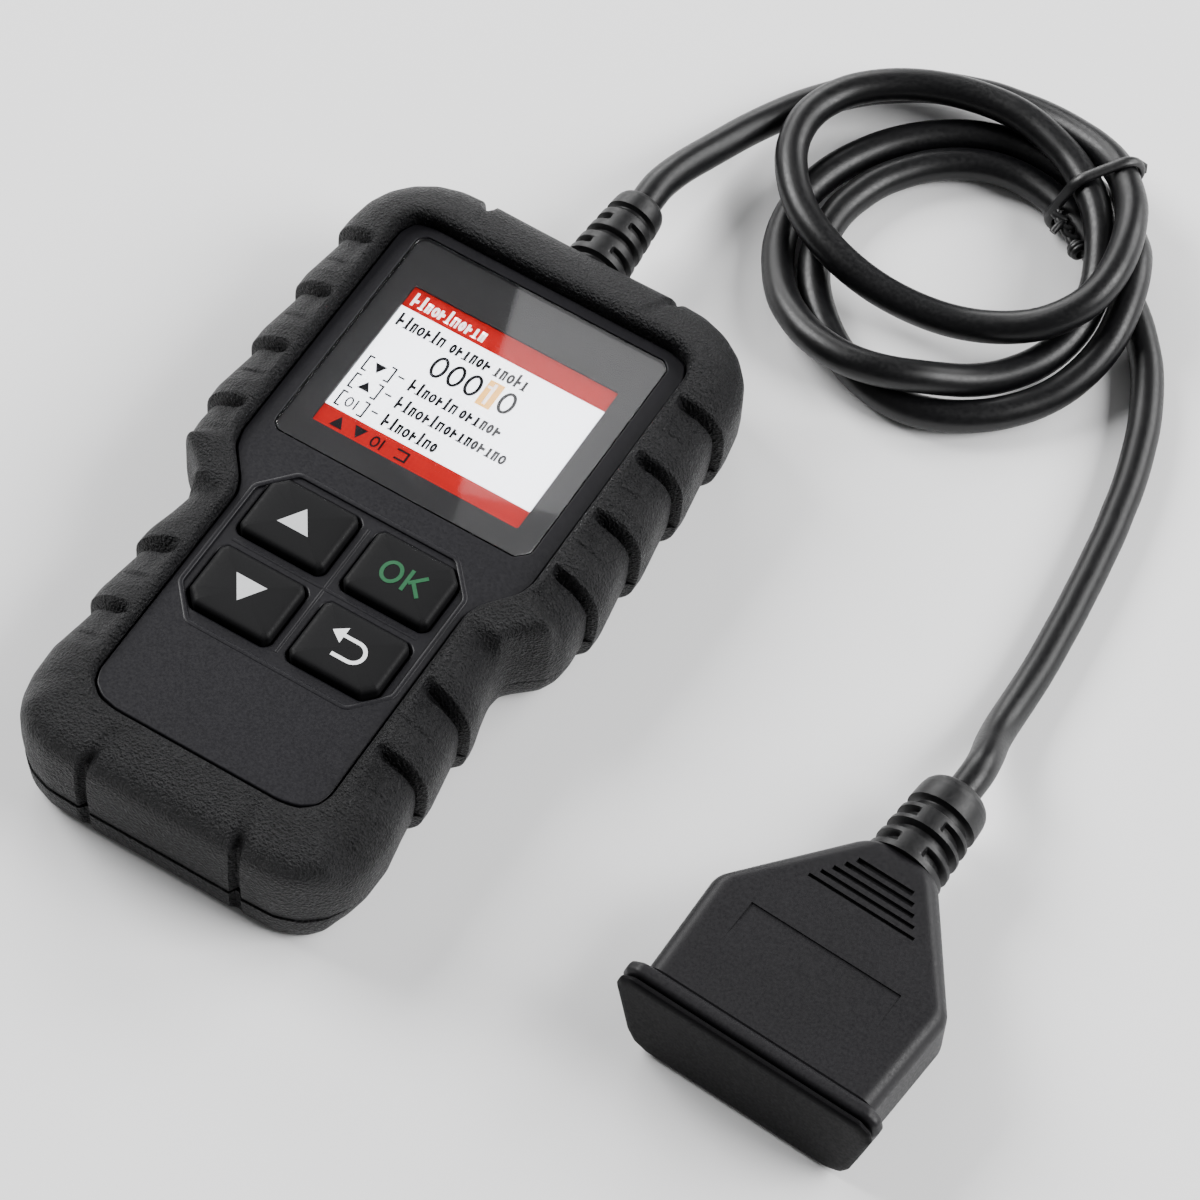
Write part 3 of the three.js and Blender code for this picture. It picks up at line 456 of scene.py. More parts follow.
# ------------------------------------------------------------------ cord
ROUTE = [  # centre line of the cord, mm
    (0.0, 75.5, 9.5), (0.0, 79.5, 9.5), (0.5, 83.4, 8.9), (1.3, 87.3, 8.0), (2.2, 91.0, 7.0), (3.2, 94.8, 6.1),
    (4.3, 98.6, 5.3), (5.6, 102.3, 4.6), (7.2, 106.0, 4.1), (8.9, 109.5, 3.6), (11.0, 112.9, 3.2), (13.4, 116.2, 2.9),
    (16.1, 119.1, 2.8), (19.2, 121.6, 2.8), (22.6, 123.8, 3.0), (26.2, 125.4, 3.3), (30.0, 126.6, 3.6), (33.9, 127.4, 4.1),
    (37.9, 127.7, 4.5), (41.8, 127.7, 5.1), (45.8, 127.2, 5.9), (49.5, 126.3, 6.8), (53.2, 125.0, 7.9), (56.6, 123.2, 9.0),
    (59.6, 120.7, 10.1), (62.1, 117.8, 11.1), (64.3, 114.6, 12.0), (65.9, 111.0, 12.7), (67.1, 107.2, 13.1), (67.8, 103.3, 13.0),
    (67.8, 99.3, 12.4), (66.9, 95.5, 11.5), (65.0, 92.2, 10.5), (62.3, 89.4, 9.4), (59.1, 87.4, 8.4), (55.5, 85.8, 7.6),
    (51.7, 84.6, 7.0), (47.8, 83.7, 6.8), (43.8, 83.2, 6.8), (39.8, 83.0, 7.0), (35.8, 83.2, 7.3), (31.9, 83.8, 7.7),
    (28.1, 84.9, 8.0), (24.4, 86.5, 8.2), (21.0, 88.6, 8.2), (18.0, 91.3, 8.2), (15.5, 94.4, 8.1), (13.5, 97.8, 8.0),
    (12.3, 101.7, 7.9), (12.1, 105.6, 7.9), (13.0, 109.5, 7.8), (14.9, 113.1, 7.8), (17.6, 116.1, 7.8), (20.7, 118.6, 7.8),
    (24.1, 120.6, 7.8), (27.8, 122.1, 7.9), (31.7, 123.1, 8.0), (35.7, 123.6, 8.2), (39.7, 123.5, 8.5), (43.6, 122.8, 8.6),
    (47.4, 121.5, 8.7), (51.1, 119.9, 8.7), (54.5, 117.7, 8.8), (57.5, 115.2, 8.9), (60.2, 112.2, 8.9), (62.4, 108.9, 8.6),
    (64.2, 105.4, 7.8), (65.6, 101.8, 7.0), (66.3, 97.9, 6.1), (66.4, 94.0, 5.3), (65.7, 90.1, 4.7), (64.3, 86.4, 4.4),
    (62.2, 82.9, 4.3), (59.8, 79.8, 4.5), (57.0, 76.9, 5.2), (54.1, 74.4, 6.3), (51.1, 72.1, 7.4), (47.6, 70.1, 8.0),
    (43.9, 68.9, 8.1), (39.9, 68.6, 7.7), (36.0, 69.2, 7.1), (32.3, 70.5, 6.3), (28.9, 72.5, 5.4), (25.9, 74.9, 4.5),
    (23.3, 77.9, 3.7), (21.1, 81.2, 3.1), (19.3, 84.7, 2.7), (18.1, 88.6, 2.6), (17.6, 92.5, 2.6), (17.8, 96.5, 2.6),
    (18.6, 100.5, 2.6), (19.9, 104.2, 2.6), (21.7, 107.8, 2.6), (23.9, 111.2, 2.6), (26.5, 114.2, 2.6), (29.5, 116.9, 2.6),
    (32.8, 119.2, 2.6), (36.4, 120.9, 2.6), (40.2, 122.0, 2.6), (44.2, 122.4, 2.7), (48.2, 122.1, 2.9), (52.1, 121.2, 3.3),
    (55.8, 119.8, 3.7), (59.3, 118.1, 4.3), (62.6, 116.0, 5.2), (65.5, 113.4, 6.3), (67.9, 110.4, 7.5), (69.6, 106.8, 8.1),
    (70.8, 103.0, 8.1), (71.6, 99.2, 7.4), (72.0, 95.3, 6.4), (71.7, 91.5, 5.3), (70.8, 87.7, 4.3), (69.4, 84.1, 3.5),
    (67.4, 80.7, 2.9), (64.9, 77.5, 2.7), (62.1, 74.7, 2.6), (58.9, 72.3, 2.6), (55.4, 70.4, 2.6), (51.5, 69.2, 2.6),
    (47.5, 69.0, 2.6), (43.6, 69.6, 2.6), (39.8, 71.0, 2.6), (36.3, 72.9, 2.6), (33.1, 75.3, 2.6), (30.2, 78.1, 2.6),
    (27.7, 81.2, 2.6), (25.7, 84.7, 2.6), (24.4, 88.5, 2.6), (23.9, 92.4, 2.6), (24.0, 96.4, 2.6), (24.9, 100.3, 2.6),
    (26.3, 104.1, 2.6), (28.4, 107.5, 2.6), (30.9, 110.6, 2.6), (33.9, 113.2, 2.6), (37.4, 115.3, 2.6), (41.2, 116.5, 2.7),
    (45.2, 116.8, 2.8), (49.1, 116.2, 3.1), (52.9, 115.0, 3.4), (56.5, 113.3, 3.6), (60.0, 111.4, 3.4), (63.5, 109.4, 3.0),
    (66.9, 107.3, 2.8), (70.2, 105.0, 2.7), (73.2, 102.3, 2.6), (75.8, 99.3, 2.6), (78.2, 96.1, 2.6), (80.2, 92.6, 2.6),
    (81.9, 89.0, 2.6), (83.4, 85.3, 2.6), (84.6, 81.5, 2.6), (85.7, 77.6, 2.6), (86.6, 73.7, 2.6), (87.3, 69.7, 2.6),
    (88.0, 65.8, 2.6), (88.5, 61.8, 2.6), (89.0, 57.8, 2.6), (89.4, 53.8, 2.6), (89.8, 49.9, 2.6), (90.1, 45.9, 2.6),
    (90.4, 41.9, 2.6), (90.6, 37.9, 2.6), (90.7, 33.9, 2.8), (90.8, 29.9, 3.3), (91.0, 26.0, 4.2), (91.5, 22.3, 5.7),
    (92.3, 18.9, 7.6), (92.8, 15.2, 9.0), (92.6, 11.2, 9.0),
]

CABLE_D = 5.2
relief_tip = (0.0, 75.2, 9.5)
cord_curve = bpy.data.curves.new("cable", "CURVE")
cord_curve.dimensions = "3D"
path = [Vector((0.0, 72.0, 9.5))] + [Vector(p) for p in ROUTE]
end_dir = (path[-1] - path[-2]).normalized()
path.append(path[-1] + end_dir * 4.0)
sp = cord_curve.splines.new("BEZIER")
sp.bezier_points.add(len(path) - 1)
for i, p in enumerate(path):
    bp = sp.bezier_points[i]
    prev, nxt = path[max(0, i - 1)], path[min(len(path) - 1, i + 1)]
    tan = (nxt - prev)
    tan.normalize()
    l0 = (p - path[i - 1]).length / 3 if i else (nxt - p).length / 3
    l1 = (nxt - p).length / 3 if i < len(path) - 1 else l0
    bp.handle_left_type = bp.handle_right_type = "FREE"
    bp.co = p * MM
    bp.handle_left = (p - tan * l0) * MM
    bp.handle_right = (p + tan * l1) * MM
cord_curve.resolution_u = 3
cord_curve.bevel_depth = CABLE_D / 2 * MM
cord_curve.bevel_resolution = 7
cord_curve.use_fill_caps = True
cable = bpy.data.objects.new("cable", cord_curve)
scene.collection.objects.link(cable)
cord_curve.materials.append(MAT["cable"])
dress(cable, "case", "cable_jacket", "cable_lead_in", "cable_coil", "cable_lead_out")

# ------------------------------------------------------------------ case outline
BASE = [
    (0, 59.0), (8, 59.0), (14, 59.0), (17.9, 59.0), (21.6, 58.8), (25.6, 57.6), (29.1, 55.3), (31.7, 52.0), (33.4, 48.0),
    (34.1, 44.0), (34.15, 41.4), (34.15, 36), (34.15, 30), (34.15, 24), (34.15, 18), (34.15, 12), (34.15, 7.0),
    (34.1, 4.0), (33.9, 1.5), (33.2, -1.5), (31.5, -4.3), (28.7, -6.5), (26.9, -8.4), (26.7, -11.5), (27.6, -15.5),
    (28.6, -18.8), (28.9, -21.4), (28.95, -26), (29.0, -29.5), (29.0, -33.1), (29.0, -37.2), (29.15, -43), (29.0, -48.0),
    (28.2, -51.6), (26.2, -55.0), (23.2, -57.5), (19.5, -58.8), (14, -59.0), (6, -59.0), (0, -59.0),
]
PANEL_HALF = [
    (0, 47.7), (20.9, 47.7), (23.9, 46.8), (25.0, 44.3), (25, 1.2), (24.2, -1.6), (20.4, -6.3), (19.5, -8.6),
    (19.5, -44.2), (18.7, -46.4), (16.6, -47.9), (13.8, -48.5), (0, -48.5),
]
ANCHORS = [
    (0, 59, 0, 48), (17, 59, 14.5, 48), (25.6, 57.6, 21.6, 48.0), (31.7, 52, 24.9, 46.4), (34.15, 44, 25.3, 43),
    (34.15, 5, 25.3, 5), (33.9, 1.5, 25.3, 1.2), (31.5, -4.3, 24.3, -2.3), (26.9, -8.4, 20.6, -6.9), (27, -11.5, 19.8, -9.5),
    (28.95, -22, 19.8, -22), (29.1, -43, 19.8, -43), (28.2, -51.6, 19.2, -46.3), (23.2, -57.5, 16.5, -48.1),
    (13.9, -59, 13, -48.8), (0, -59, 0, -48.8),
]
RIBS = [41.0, 29.0, 17.0, 5.0, -21.7, -33.4]
CREST = lambda y: np.minimum(22.3, 22.3 - (51.4 - y) * 0.0165)


def ring_of(half, step=0.1, sigma=0.9):
    """Closed counter-clockwise curve from a right half, resampled and smoothed: arrays x, y."""
    pts = [(x, y) for x, y in half[::-1]] + [(-x, y) for x, y in half[1:-1]]
    P = np.array(pts, float)
    Q = np.vstack([P, P[:1]])
    seg = np.hypot(*np.diff(Q, axis=0).T)
    s = np.concatenate([[0], np.cumsum(seg)])
    n = int(round(s[-1] / step))
    t = np.arange(n) * s[-1] / n
    x, y = np.interp(t, s, Q[:, 0]), np.interp(t, s, Q[:, 1])
    if sigma:
        w = int(4 * sigma / step)
        k = np.exp(-0.5 * (np.arange(-w, w + 1) * step / sigma) ** 2)
        k /= k.sum()
        x = np.convolve(np.concatenate([x[-w:], x, x[:w]]), k, "valid")
        y = np.convolve(np.concatenate([y[-w:], y, y[:w]]), k, "valid")
    return x, y


ox, oy = ring_of(BASE, 0.1, 0.6)
oy = oy - 0.9 * smoothstep(46, 57, oy)
# column spacing: fine near ribs and notches
want = np.full(len(ox), 0.75)
side = np.abs(ox) > 24
for g in RIBS:
    u = g - oy
    want = np.where(side & (u > -1.4) & (u < 1.9), 0.14, want)
    want = np.where(side & (u >= 1.9) & (u < 4.6), 0.45, want)
    want = np.where(side & (np.abs(u - 6.2) < 0.5), 0.13, want)
want = np.where((oy > 50) & (np.abs(np.abs(ox) - 17) < 1.5), 0.17, want)
want = np.where((oy < -50) & (np.abs(np.abs(ox) - 13) < 1.5), 0.17, want)
want = np.where((oy < 1) & (oy > -13), 0.4, want)
dens = np.cumsum(0.1 / want)
count = int(dens[-1])
pick = np.searchsorted(dens, (np.arange(count) + 0.5) * dens[-1] / count)
ox, oy = ox[pick], oy[pick]
M = len(ox)
px, py = ring_of([(x + (0.3 if x > 1 else 0), y + (0.3 if y > 0 else -0.3) * (abs(y) > 47 or x < 1)) for x, y in PANEL_HALF], 0.1, 0.55)


def nearest(cx, cy, x, y):
    return int(np.argmin((cx - x) ** 2 + (cy - y) ** 2))


full = ANCHORS[::-1] + [(-a, b, -c, d) for a, b, c, d in ANCHORS[1:-1]]
oi = np.array([nearest(ox, oy, a[0], a[1]) for a in full])
pi_ = np.array([nearest(px, py, a[2], a[3]) for a in full], float)
order = np.argsort(oi)
oi, pi_ = oi[order], pi_[order]
pi_ = np.unwrap(pi_ / len(px) * 2 * np.pi) / (2 * np.pi) * len(px)
fi = np.interp(np.arange(M), np.concatenate([[oi[-1] - M], oi, [oi[0] + M]]),
               np.concatenate([[pi_[-1] - len(px)], pi_, [pi_[0] + len(px)]]))
w = 9
fi = np.convolve(np.concatenate([fi[-w:] - len(px), fi, fi[:w] + len(px)]), np.ones(2 * w + 1) / (2 * w + 1), "valid")
base_i = np.floor(fi).astype(int)
fr = fi - base_i
ix = px[base_i % len(px)] * (1 - fr) + px[(base_i + 1) % len(px)] * fr
iy = py[base_i % len(px)] * (1 - fr) + py[(base_i + 1) % len(px)] * fr
D = np.hypot(ix - ox, iy - oy)
dirx, diry = (ix - ox) / D, (iy - oy) / D

SIDE = [(.45, 6.15), (.2, 7.5), (.1, 9), (0, 10.5), (0, 12), (0, -8), (.1, -7), (.3, -6.1), (.7, -5.2), (1.1, -4.4),
        (1.6, -3.7), (2.2, -3.0), (2.9, -2.4), (3.6, -1.83), (4.4, -1.3), (5.3, -.86), (6.2, -.5), (7.0, -.22), (7.8, -.04),
        (8.2, -.07), (8.55, -.22), (8.85, -.5), (9.03, -.9), (9.1, -1.4)]
TIGHT = [(.45, 6.15), (.2, 7.5), (.1, 9), (0, 10.5), (0, 12), (0, -6.0), (.03, -5.0), (.1, -4.1), (.22, -3.35), (.42, -2.7),
         (.72, -2.1), (1.12, -1.58), (1.62, -1.14), (2.25, -.78), (3.05, -.5), (4.0, -.3), (5.2, -.17), (6.5, -.08), (7.8, -.02),
         (8.2, -.07), (8.55, -.22), (8.85, -.5), (9.03, -.9), (9.1, -1.4)]
NOTCH = [(.45, 6.15), (.2, 7.5), (.1, 9), (0, 10.5), (0, 12), (0, -5.0), (0, -4.2), (.03, -3.5), (.08, -2.9), (.16, -2.35),
         (.28, -1.85), (.45, -1.4), (.7, -1.0), (1.05, -.68), (1.55, -.42), (2.3, -.24), (3.5, -.12), (5.2, -.05), (7.6, -.02),
         (8.2, -.07), (8.55, -.22), (8.85, -.5), (9.03, -.9), (9.1, -1.4)]
notch_w = smoothstep(-11.5, -9.0, oy) * (1 - smoothstep(-4.4, -1.6, oy)) * (np.abs(ox) > 20)
tight = (1 - smoothstep(-56.5, -50.5, oy))
crest = CREST(oy)
k = np.clip(D / 9.1, 0.5, 1.4)
rows = []
for (d0, z0), (d1, z1), (d2, z2) in zip(SIDE, TIGHT, NOTCH):
    side_w = 1 - tight - notch_w
    d = d0 * side_w + d1 * tight + d2 * notch_w
    d = np.where(d < 3, d * np.minimum(k, 1.0), d * k + 3 * (np.minimum(k, 1.0) - k) * np.clip((9.1 - d) / 6.1, 0, 1))
    za = z0 if z0 > 0 else crest + z0
    zb = z1 if z1 > 0 else crest + z1
    zc = z2 if z2 > 0 else crest + z2
    z = za * side_w + zb * tight + zc * notch_w
    rows.append(np.stack([ox + dirx * d, oy + diry * d, z * np.ones(M)], 1))
G = np.array(rows)  # rows x columns x 3
dcol = np.roll(G, -1, 1) - np.roll(G, 1, 1)
drow = np.empty_like(G)
drow[1:-1] = G[2:] - G[:-2]
drow[0], drow[-1] = G[1] - G[0], G[-1] - G[-2]
nrm = np.cross(dcol, drow)
nrm /= np.linalg.norm(nrm, axis=2, keepdims=True) + 1e-12
if (nrm[3, :, 0] * ox + nrm[3, :, 1] * oy).mean() < 0:
    nrm = -nrm
dmm = np.linalg.norm(G[:, :, :2] - np.stack([ox, oy], 1)[None], axis=2)


def rib_depth(y, d, wall):
    """Inward depth of the ribs, at outline height y and distance d in from the outline."""
    h = np.zeros_like(d)
    on = (np.abs(ox) > 24)[None, :]
    for g in RIBS:
        u = g - y
        step = smoothstep(-0.3, 0.4, u) * np.clip(1.06 - u / 8.6, 0, 1) * 1.3
        cres = 1.55 * np.exp(-np.abs((u - 0.36) / 0.42) ** 3)
        line = 0.22 * np.exp(-((u - 6.2) / 0.2) ** 2)
        h = h + on * (step * (1 - smoothstep(5.0, 8.2, d)) + cres * (1 - smoothstep(6.3, 7.9, d)) * (0.72 + 0.28 * smoothstep(0.0, 1.6, d)) * wall)
        h = h + on * line * smoothstep(2.0, 3.4, d) * (1 - smoothstep(6.6, 7.6, d))
    nt = np.clip(1 - np.abs(np.abs(ox) - 17) / 1.0, 0, 1) * (oy > 50) + np.clip(1 - np.abs(np.abs(ox) - 13) / 1.0, 0, 1) * (oy < -50)
    ntop = np.clip(1 - np.abs(np.abs(ox) - 17) / 0.6, 0, 1) * (oy > 50) + np.clip(1 - np.abs(np.abs(ox) - 13) / 0.6, 0, 1) * (oy < -50)
    h = h + 1.35 * np.minimum(1.0, nt * 1.4)[None, :] * (1 - smoothstep(1.6, 3.8, d))
    h = h + 0.34 * np.minimum(1.0, ntop * 1.5)[None, :] * smoothstep(1.6, 3.8, d) * (1 - smoothstep(8.0, 9.6, d))
    return h


yy = np.repeat(oy[None, :], len(G), 0)
H = rib_depth(yy, dmm, np.ones_like(dmm))
H[-6:] *= 0
G = G - nrm * H[:, :, None]
G[0, :, 2] = 6.15

inner = []
for d, z in [(9.1, 18.2), (9.1, 17.6), (11.3, 17.6), (11.3, 16.0), (6.0, 16.0), (4.6, 14.8), (3.3, 13.4), (3.2, 6.15)]:
    dd = d * k
    inner.append(np.stack([ox + dirx * dd, oy + diry * dd, np.full(M, z)], 1))
rings = np.concatenate([G, np.array(inner)], 0)


def closed_tube(name, rings, mats, sharp=35):
    """Surface through rings, closed back onto the first ring."""
    R, C = rings.shape[:2]
    v = rings.reshape(-1, 3).tolist()
    f = []
    for a in range(R):
        b = (a + 1) % R
        for c in range(C):
            e = (c + 1) % C
            f.append((a * C + c, a * C + e, b * C + e, b * C + c))
    ob = add_mesh(name, v, f, mats)
    fix_normals(ob)
    finish_mesh(ob, sharp)
    return ob


front = closed_tube("front_frame", rings, [MAT["shell"]])


def drum(cx, cy, cz, axis, r, length, seg=48):
    """Cylinder used to cut, from its centre along an axis."""
    ax = Vector(axis).normalized()
    q = ax.to_track_quat("Z", "Y")
    rs = []
    for t in (-length / 2, length / 2):
        rs.append([tuple(Vector((cx, cy, cz)) + q @ Vector((r * math.cos(2 * math.pi * i / seg), r * math.sin(2 * math.pi * i / seg), t))) for i in range(seg)])
    return loft("cutter", rs, smooth=False)


boolean(front, [drum(0, 58.5, 9.5, (0, 1, 0), 4.0, 9)])
finish_mesh(front, 35)
dress(front, "case", "shell", "front_shell")

# back shell
bprof = [(5.0, 0.0), (4.3, 0.06), (3.6, 0.25), (2.9, 0.62), (2.3, 1.15), (1.8, 1.8), (1.35, 2.6), (1.0, 3.5), (0.75, 4.5), (0.6, 5.3), (0.55, 5.85)]
br = []
for d, z in bprof:
    fade = 0.25 + 0.75 * smoothstep(0.0, 3.0, z)
    on = (np.abs(ox) > 24)
    h = np.zeros(M)
    for g in RIBS:
        u = g - oy
        h += on * smoothstep(-0.3, 0.4, u) * np.clip(1.06 - u / 8.6, 0, 1) * 1.3
    nt = np.clip(1 - np.abs(np.abs(ox) - 17) / 1.0, 0, 1) * (oy > 50) + np.clip(1 - np.abs(np.abs(ox) - 13) / 1.0, 0, 1) * (oy < -50)
    h += 1.1 * np.minimum(1, nt * 1.4)
    low_end = 1 - 0.62 * (1 - smoothstep(-57, -51, oy))
    dd = d * np.minimum(k, 1) * low_end + h * fade
    br.append(np.stack([ox + dirx * dd, oy + diry * dd, np.full(M, z)], 1))
for d, z in [(3.2, 5.85), (3.4, 2.4), (4.6, 2.0)]:
    br.append(np.stack([ox + dirx * d * k, oy + diry * d * k, np.full(M, z)], 1))
rear = loft("rear_case", [r.tolist() for r in br], [MAT["shell"]], sharp=35)
cuts = [drum(x, y, 0, (0, 0, 1), 3.3, 5.2, 36) for x, y in [(-27, 47.4), (27, 47.4), (-20.6, -50.6), (20.6, -50.6)]]
cuts.append(cutter(rounded(rect(0, -4, 39, 55), 2.0), -1, 0.5))
cuts.append(drum(0, 58.5, 9.5, (0, 1, 0), 4.0, 9))
boolean(rear, cuts)
finish_mesh(rear, 35)
dress(rear, "case", "shell", "back_shell")

# ------------------------------------------------------------------ face panel
pouter = [(x, y) for x, y in zip(*[a[::4] for a in ring_of(PANEL_HALF, 0.1, 0.5)])]
panel = slab("face_plate", pouter, 17.9, 19.5, [MAT["panel"]], 0.3, bottom=False, sharp=40)


def flared(outline, z0, z1, flare, top):
    """Cutter whose upper edge opens out, for a rounded hole edge."""
    rs = [[(x, y, z0) for x, y in outline]]
    for i in range(5):
        t = i / 4 * math.pi / 2
        rs.append([(x, y, z1 - flare * (1 - math.sin(t)) + 0.0) for x, y in offset_poly(outline, -flare * (1 - math.cos(t)))])
    rs.append([(x, y, top) for x, y in offset_poly(outline, -flare)])
    return loft("cutter", rs, smooth=False)


LENS = [(-21.9, 5.3), (-21.9, 44.5), (-20.8, 45.6), (20.8, 45.6), (21.9, 44.5), (21.9, 6.0), (20.1, 4.2), (-20.8, 4.2)][::-1]
lens_out = rounded(LENS, 1.2, 5)
KEYS = {"up": (-8.9, -8.3), "ok": (8.9, -8.3), "down": (-8.9, -22.6), "back": (8.9, -22.6)}


def key_outline(cx, cy, grow=0.0):
    a, b, c = 7.25 + grow, 5.6 + grow, 2.0
    sx, sy = (1 if cx > 0 else -1), (1 if cy > -15 else -1)
    pts = []
    for qx, qy in [(-1, -1), (1, -1), (1, 1), (-1, 1)]:
        cut = c if (qx == sx and qy == sy) else 0.9
        first = (cx + qx * (a - cut), cy + qy * b)
        second = (cx + qx * a, cy + qy * (b - cut))
        pts += [first, second] if qx * qy < 0 else [second, first]
    return pts


def ccw(pts):
    s = sum(pts[i][0] * pts[(i + 1) % len(pts)][1] - pts[(i + 1) % len(pts)][0] * pts[i][1] for i in range(len(pts)))
    return pts if s > 0 else pts[::-1]


def order_round(pts, cx, cy):
    return sorted(pts, key=lambda p: math.atan2(p[1] - cy, p[0] - cx))


cuts = [flared(ccw(rounded(ccw(offset_poly(ccw(LENS), -0.22)), 1.3, 5)), 18.3, 19.5, 0.12, 21)]
cuts.append(cutter(rounded(rect(0, 23.2, 37.8, 31.2), 0.8), 17, 20))
OCT = [(-17.8, -6.2), (-17.8, -25.4), (-13.4, -30.4), (13.4, -30.4), (17.8, -25.4), (17.8, -6.2), (13.4, -1.2), (-13.4, -1.2)]
oct_out = rounded(OCT, 1.5, 6)
cuts.append(flared(ccw(oct_out), 19.22, 19.5, 0.22, 21))
for name, (cx, cy) in KEYS.items():
    o = ccw(rounded(order_round(key_outline(cx, cy, 0.35), cx, cy), 1.0, 5))
    cuts.append(flared(o, 17, 19.22, 0.35, 21))
boolean(panel, cuts)
weighted(panel, 35)


def bead(line, wd, ht, z, closed):
    """Low rounded ridge on the panel along a line."""
    P = [Vector(q) for q in line]
    n = len(P)
    rings_ = []
    for i in range(n):
        a = P[i - 1] if (i or closed) else P[i]
        b = P[(i + 1) % n] if (i < n - 1 or closed) else P[i]
        t = (b - a).normalized()
        nn = Vector((-t.y, t.x))
        ring_ = []
        for q in range(9):
            ang = math.pi * q / 8
            ring_.append((P[i].x + nn.x * wd / 2 * math.cos(ang), P[i].y + nn.y * wd / 2 * math.cos(ang), z + ht * math.sin(ang)))
        ring_ += [(P[i].x - nn.x * wd / 2, P[i].y - nn.y * wd / 2, z - 0.12), (P[i].x + nn.x * wd / 2, P[i].y + nn.y * wd / 2, z - 0.12)]
        rings_.append(ring_)
    return closed_tube("bead", np.array(rings_), [MAT["panel"]], 60) if closed else loft("bead", rings_, [MAT["panel"]], sharp=60)


lip = bead(ccw(rounded(ccw(offset_poly(ccw(OCT), -0.42)), 1.8, 8)), 0.8, 0.14, 19.46, True)
webs = [bead([(0, y) for y in np.linspace(-3.4, -28.2, 12)], 0.55, 0.1, 19.2, False),
        bead([(x, -15.45) for x in np.linspace(-15.8, 15.8, 12)], 0.55, 0.1, 19.2, False)]
bm = bmesh.new()
bm.from_mesh(lip.data)
for wb in webs:
    bm.from_mesh(wb.data)
    bpy.data.objects.remove(wb)
bm.to_mesh(lip.data)
bm.free()
lip.name = "keypad_rim"
finish_mesh(lip, 60)
dress(lip, "case", "panel")
dress(panel, "case", "panel", "face_panel")

# lens: clear window over a printed border
lens = slab("display_window", ccw(lens_out), 18.75, 19.5, [MAT["lens"]], 0.1, sharp=40)
weighted(lens, 40)
dress(lens, "case", "lens", "screen_lens")
border = slab("window_print", ccw(rounded(ccw(offset_poly(ccw(LENS), 0.15)), 1.5, 5)), 18.34, 18.62, [MAT["border"]], 0.0, top=False, bottom=False)
boolean(border, [cutter(rounded(rect(0, 23.15, 35.8, 28.7), 0.4), 17, 21)])
dress(border, "case", "panel")

# ------------------------------------------------------------------ display picture
pic_v, pic_f, pic_m = [], [], []
PIC = ["lcd_white", "lcd_red", "lcd_black", "lcd_pale", "lcd_amber"]


def patch(pts, z, m, t=0.02):
    b = len(pic_v)
    n = len(pts)
    pic_v.extend([(x, y, z) for x, y in pts] + [(x, y, z + t) for x, y in pts])
    pic_f.append(tuple(range(b + n, b + 2 * n)))
    pic_f.append(tuple(reversed(range(b, b + n))))
    for i in range(n):
        j = (i + 1) % n
        pic_f.append((b + i, b + j, b + n + j, b + n + i))
    pic_m.extend([PIC.index(m)] * (n + 2))


def box2(x0, y0, x1, y1, z, m):
    patch([(x0, y0), (x1, y0), (x1, y1), (x0, y1)], z, m)


def stroke(pts, w, z, m, closed=False):
    """Flat stroke of width w along a polyline."""
    P = [Vector(p) for p in pts]
    n = len(P)
    L, Rr = [], []
    for i in range(n):
        a = P[i] - P[i - 1] if (i or closed) else P[1] - P[0]
        b = P[(i + 1) % n] - P[i] if (i < n - 1 or closed) else P[-1] - P[-2]
        a.normalize()
        b.normalize()
        na, nb = Vector((-a.y, a.x)), Vector((-b.y, b.x))
        m_ = (na + nb)
        m_.normalize()
        q = w / 2 / max(0.4, m_.dot(na))
        L.append(P[i] + m_ * q)
        Rr.append(P[i] - m_ * q)
    idx = range(n) if closed else range(n - 1)
    for i in idx:
        j = (i + 1) % n
        patch([tuple(Rr[i]), tuple(Rr[j]), tuple(L[j]), tuple(L[i])], z, m)


def oval(cx, cy, a, b, n=28):
    return [(cx + a * math.cos(2 * math.pi * i / n), cy + b * math.sin(2 * math.pi * i / n)) for i in range(n)]


X0, X1, Y0, Y1 = -17.85, 17.85, 8.8, 37.5
box2(X0, Y0, X1, Y1, 18.12, "lcd_white")
box2(X0, 33.6, X1, Y1, 18.15, "lcd_red")
box2(X0, Y0, X1, 12.5, 18.15, "lcd_red")


def words(x, y, h, lengths, m, gap=0.75, z=18.18):
    """A line of greeked words: rows of short upright strokes with no readable letters."""
    r = 0
    for L in lengths:
        xe = x + L
        while x < xe - 0.4:
            tall = h if (r * 7 + 3) % 5 in (0, 3) else h * 0.72
            ww = 0.86 if (r * 5) % 3 else 1.02
            kind = (r * 11 + 4) % 4
            if kind == 0:
                box2(x, y, x + 0.42, y + tall, z, m)
                box2(x + 0.42, y + h * 0.3, x + ww, y + h * 0.52, z, m)
            elif kind == 1:
                stroke(oval(x + ww / 2, y + h * 0.36, ww / 2 - 0.15, h * 0.28, 12), 0.4, z, m, True)
            elif kind == 2:
                box2(x, y, x + 0.4, y + h * 0.72, z, m)
                box2(x + ww - 0.34, y, x + ww, y + h * 0.6, z, m)
                box2(x, y + h * 0.55, x + ww, y + h * 0.72, z, m)
            else:
                box2(x + ww * 0.3, y, x + ww * 0.3 + 0.44, y + tall, z, m)
                box2(x, y, x + ww, y + 0.22, z, m)
            x += ww + 0.28
            r += 1
        x = xe + gap


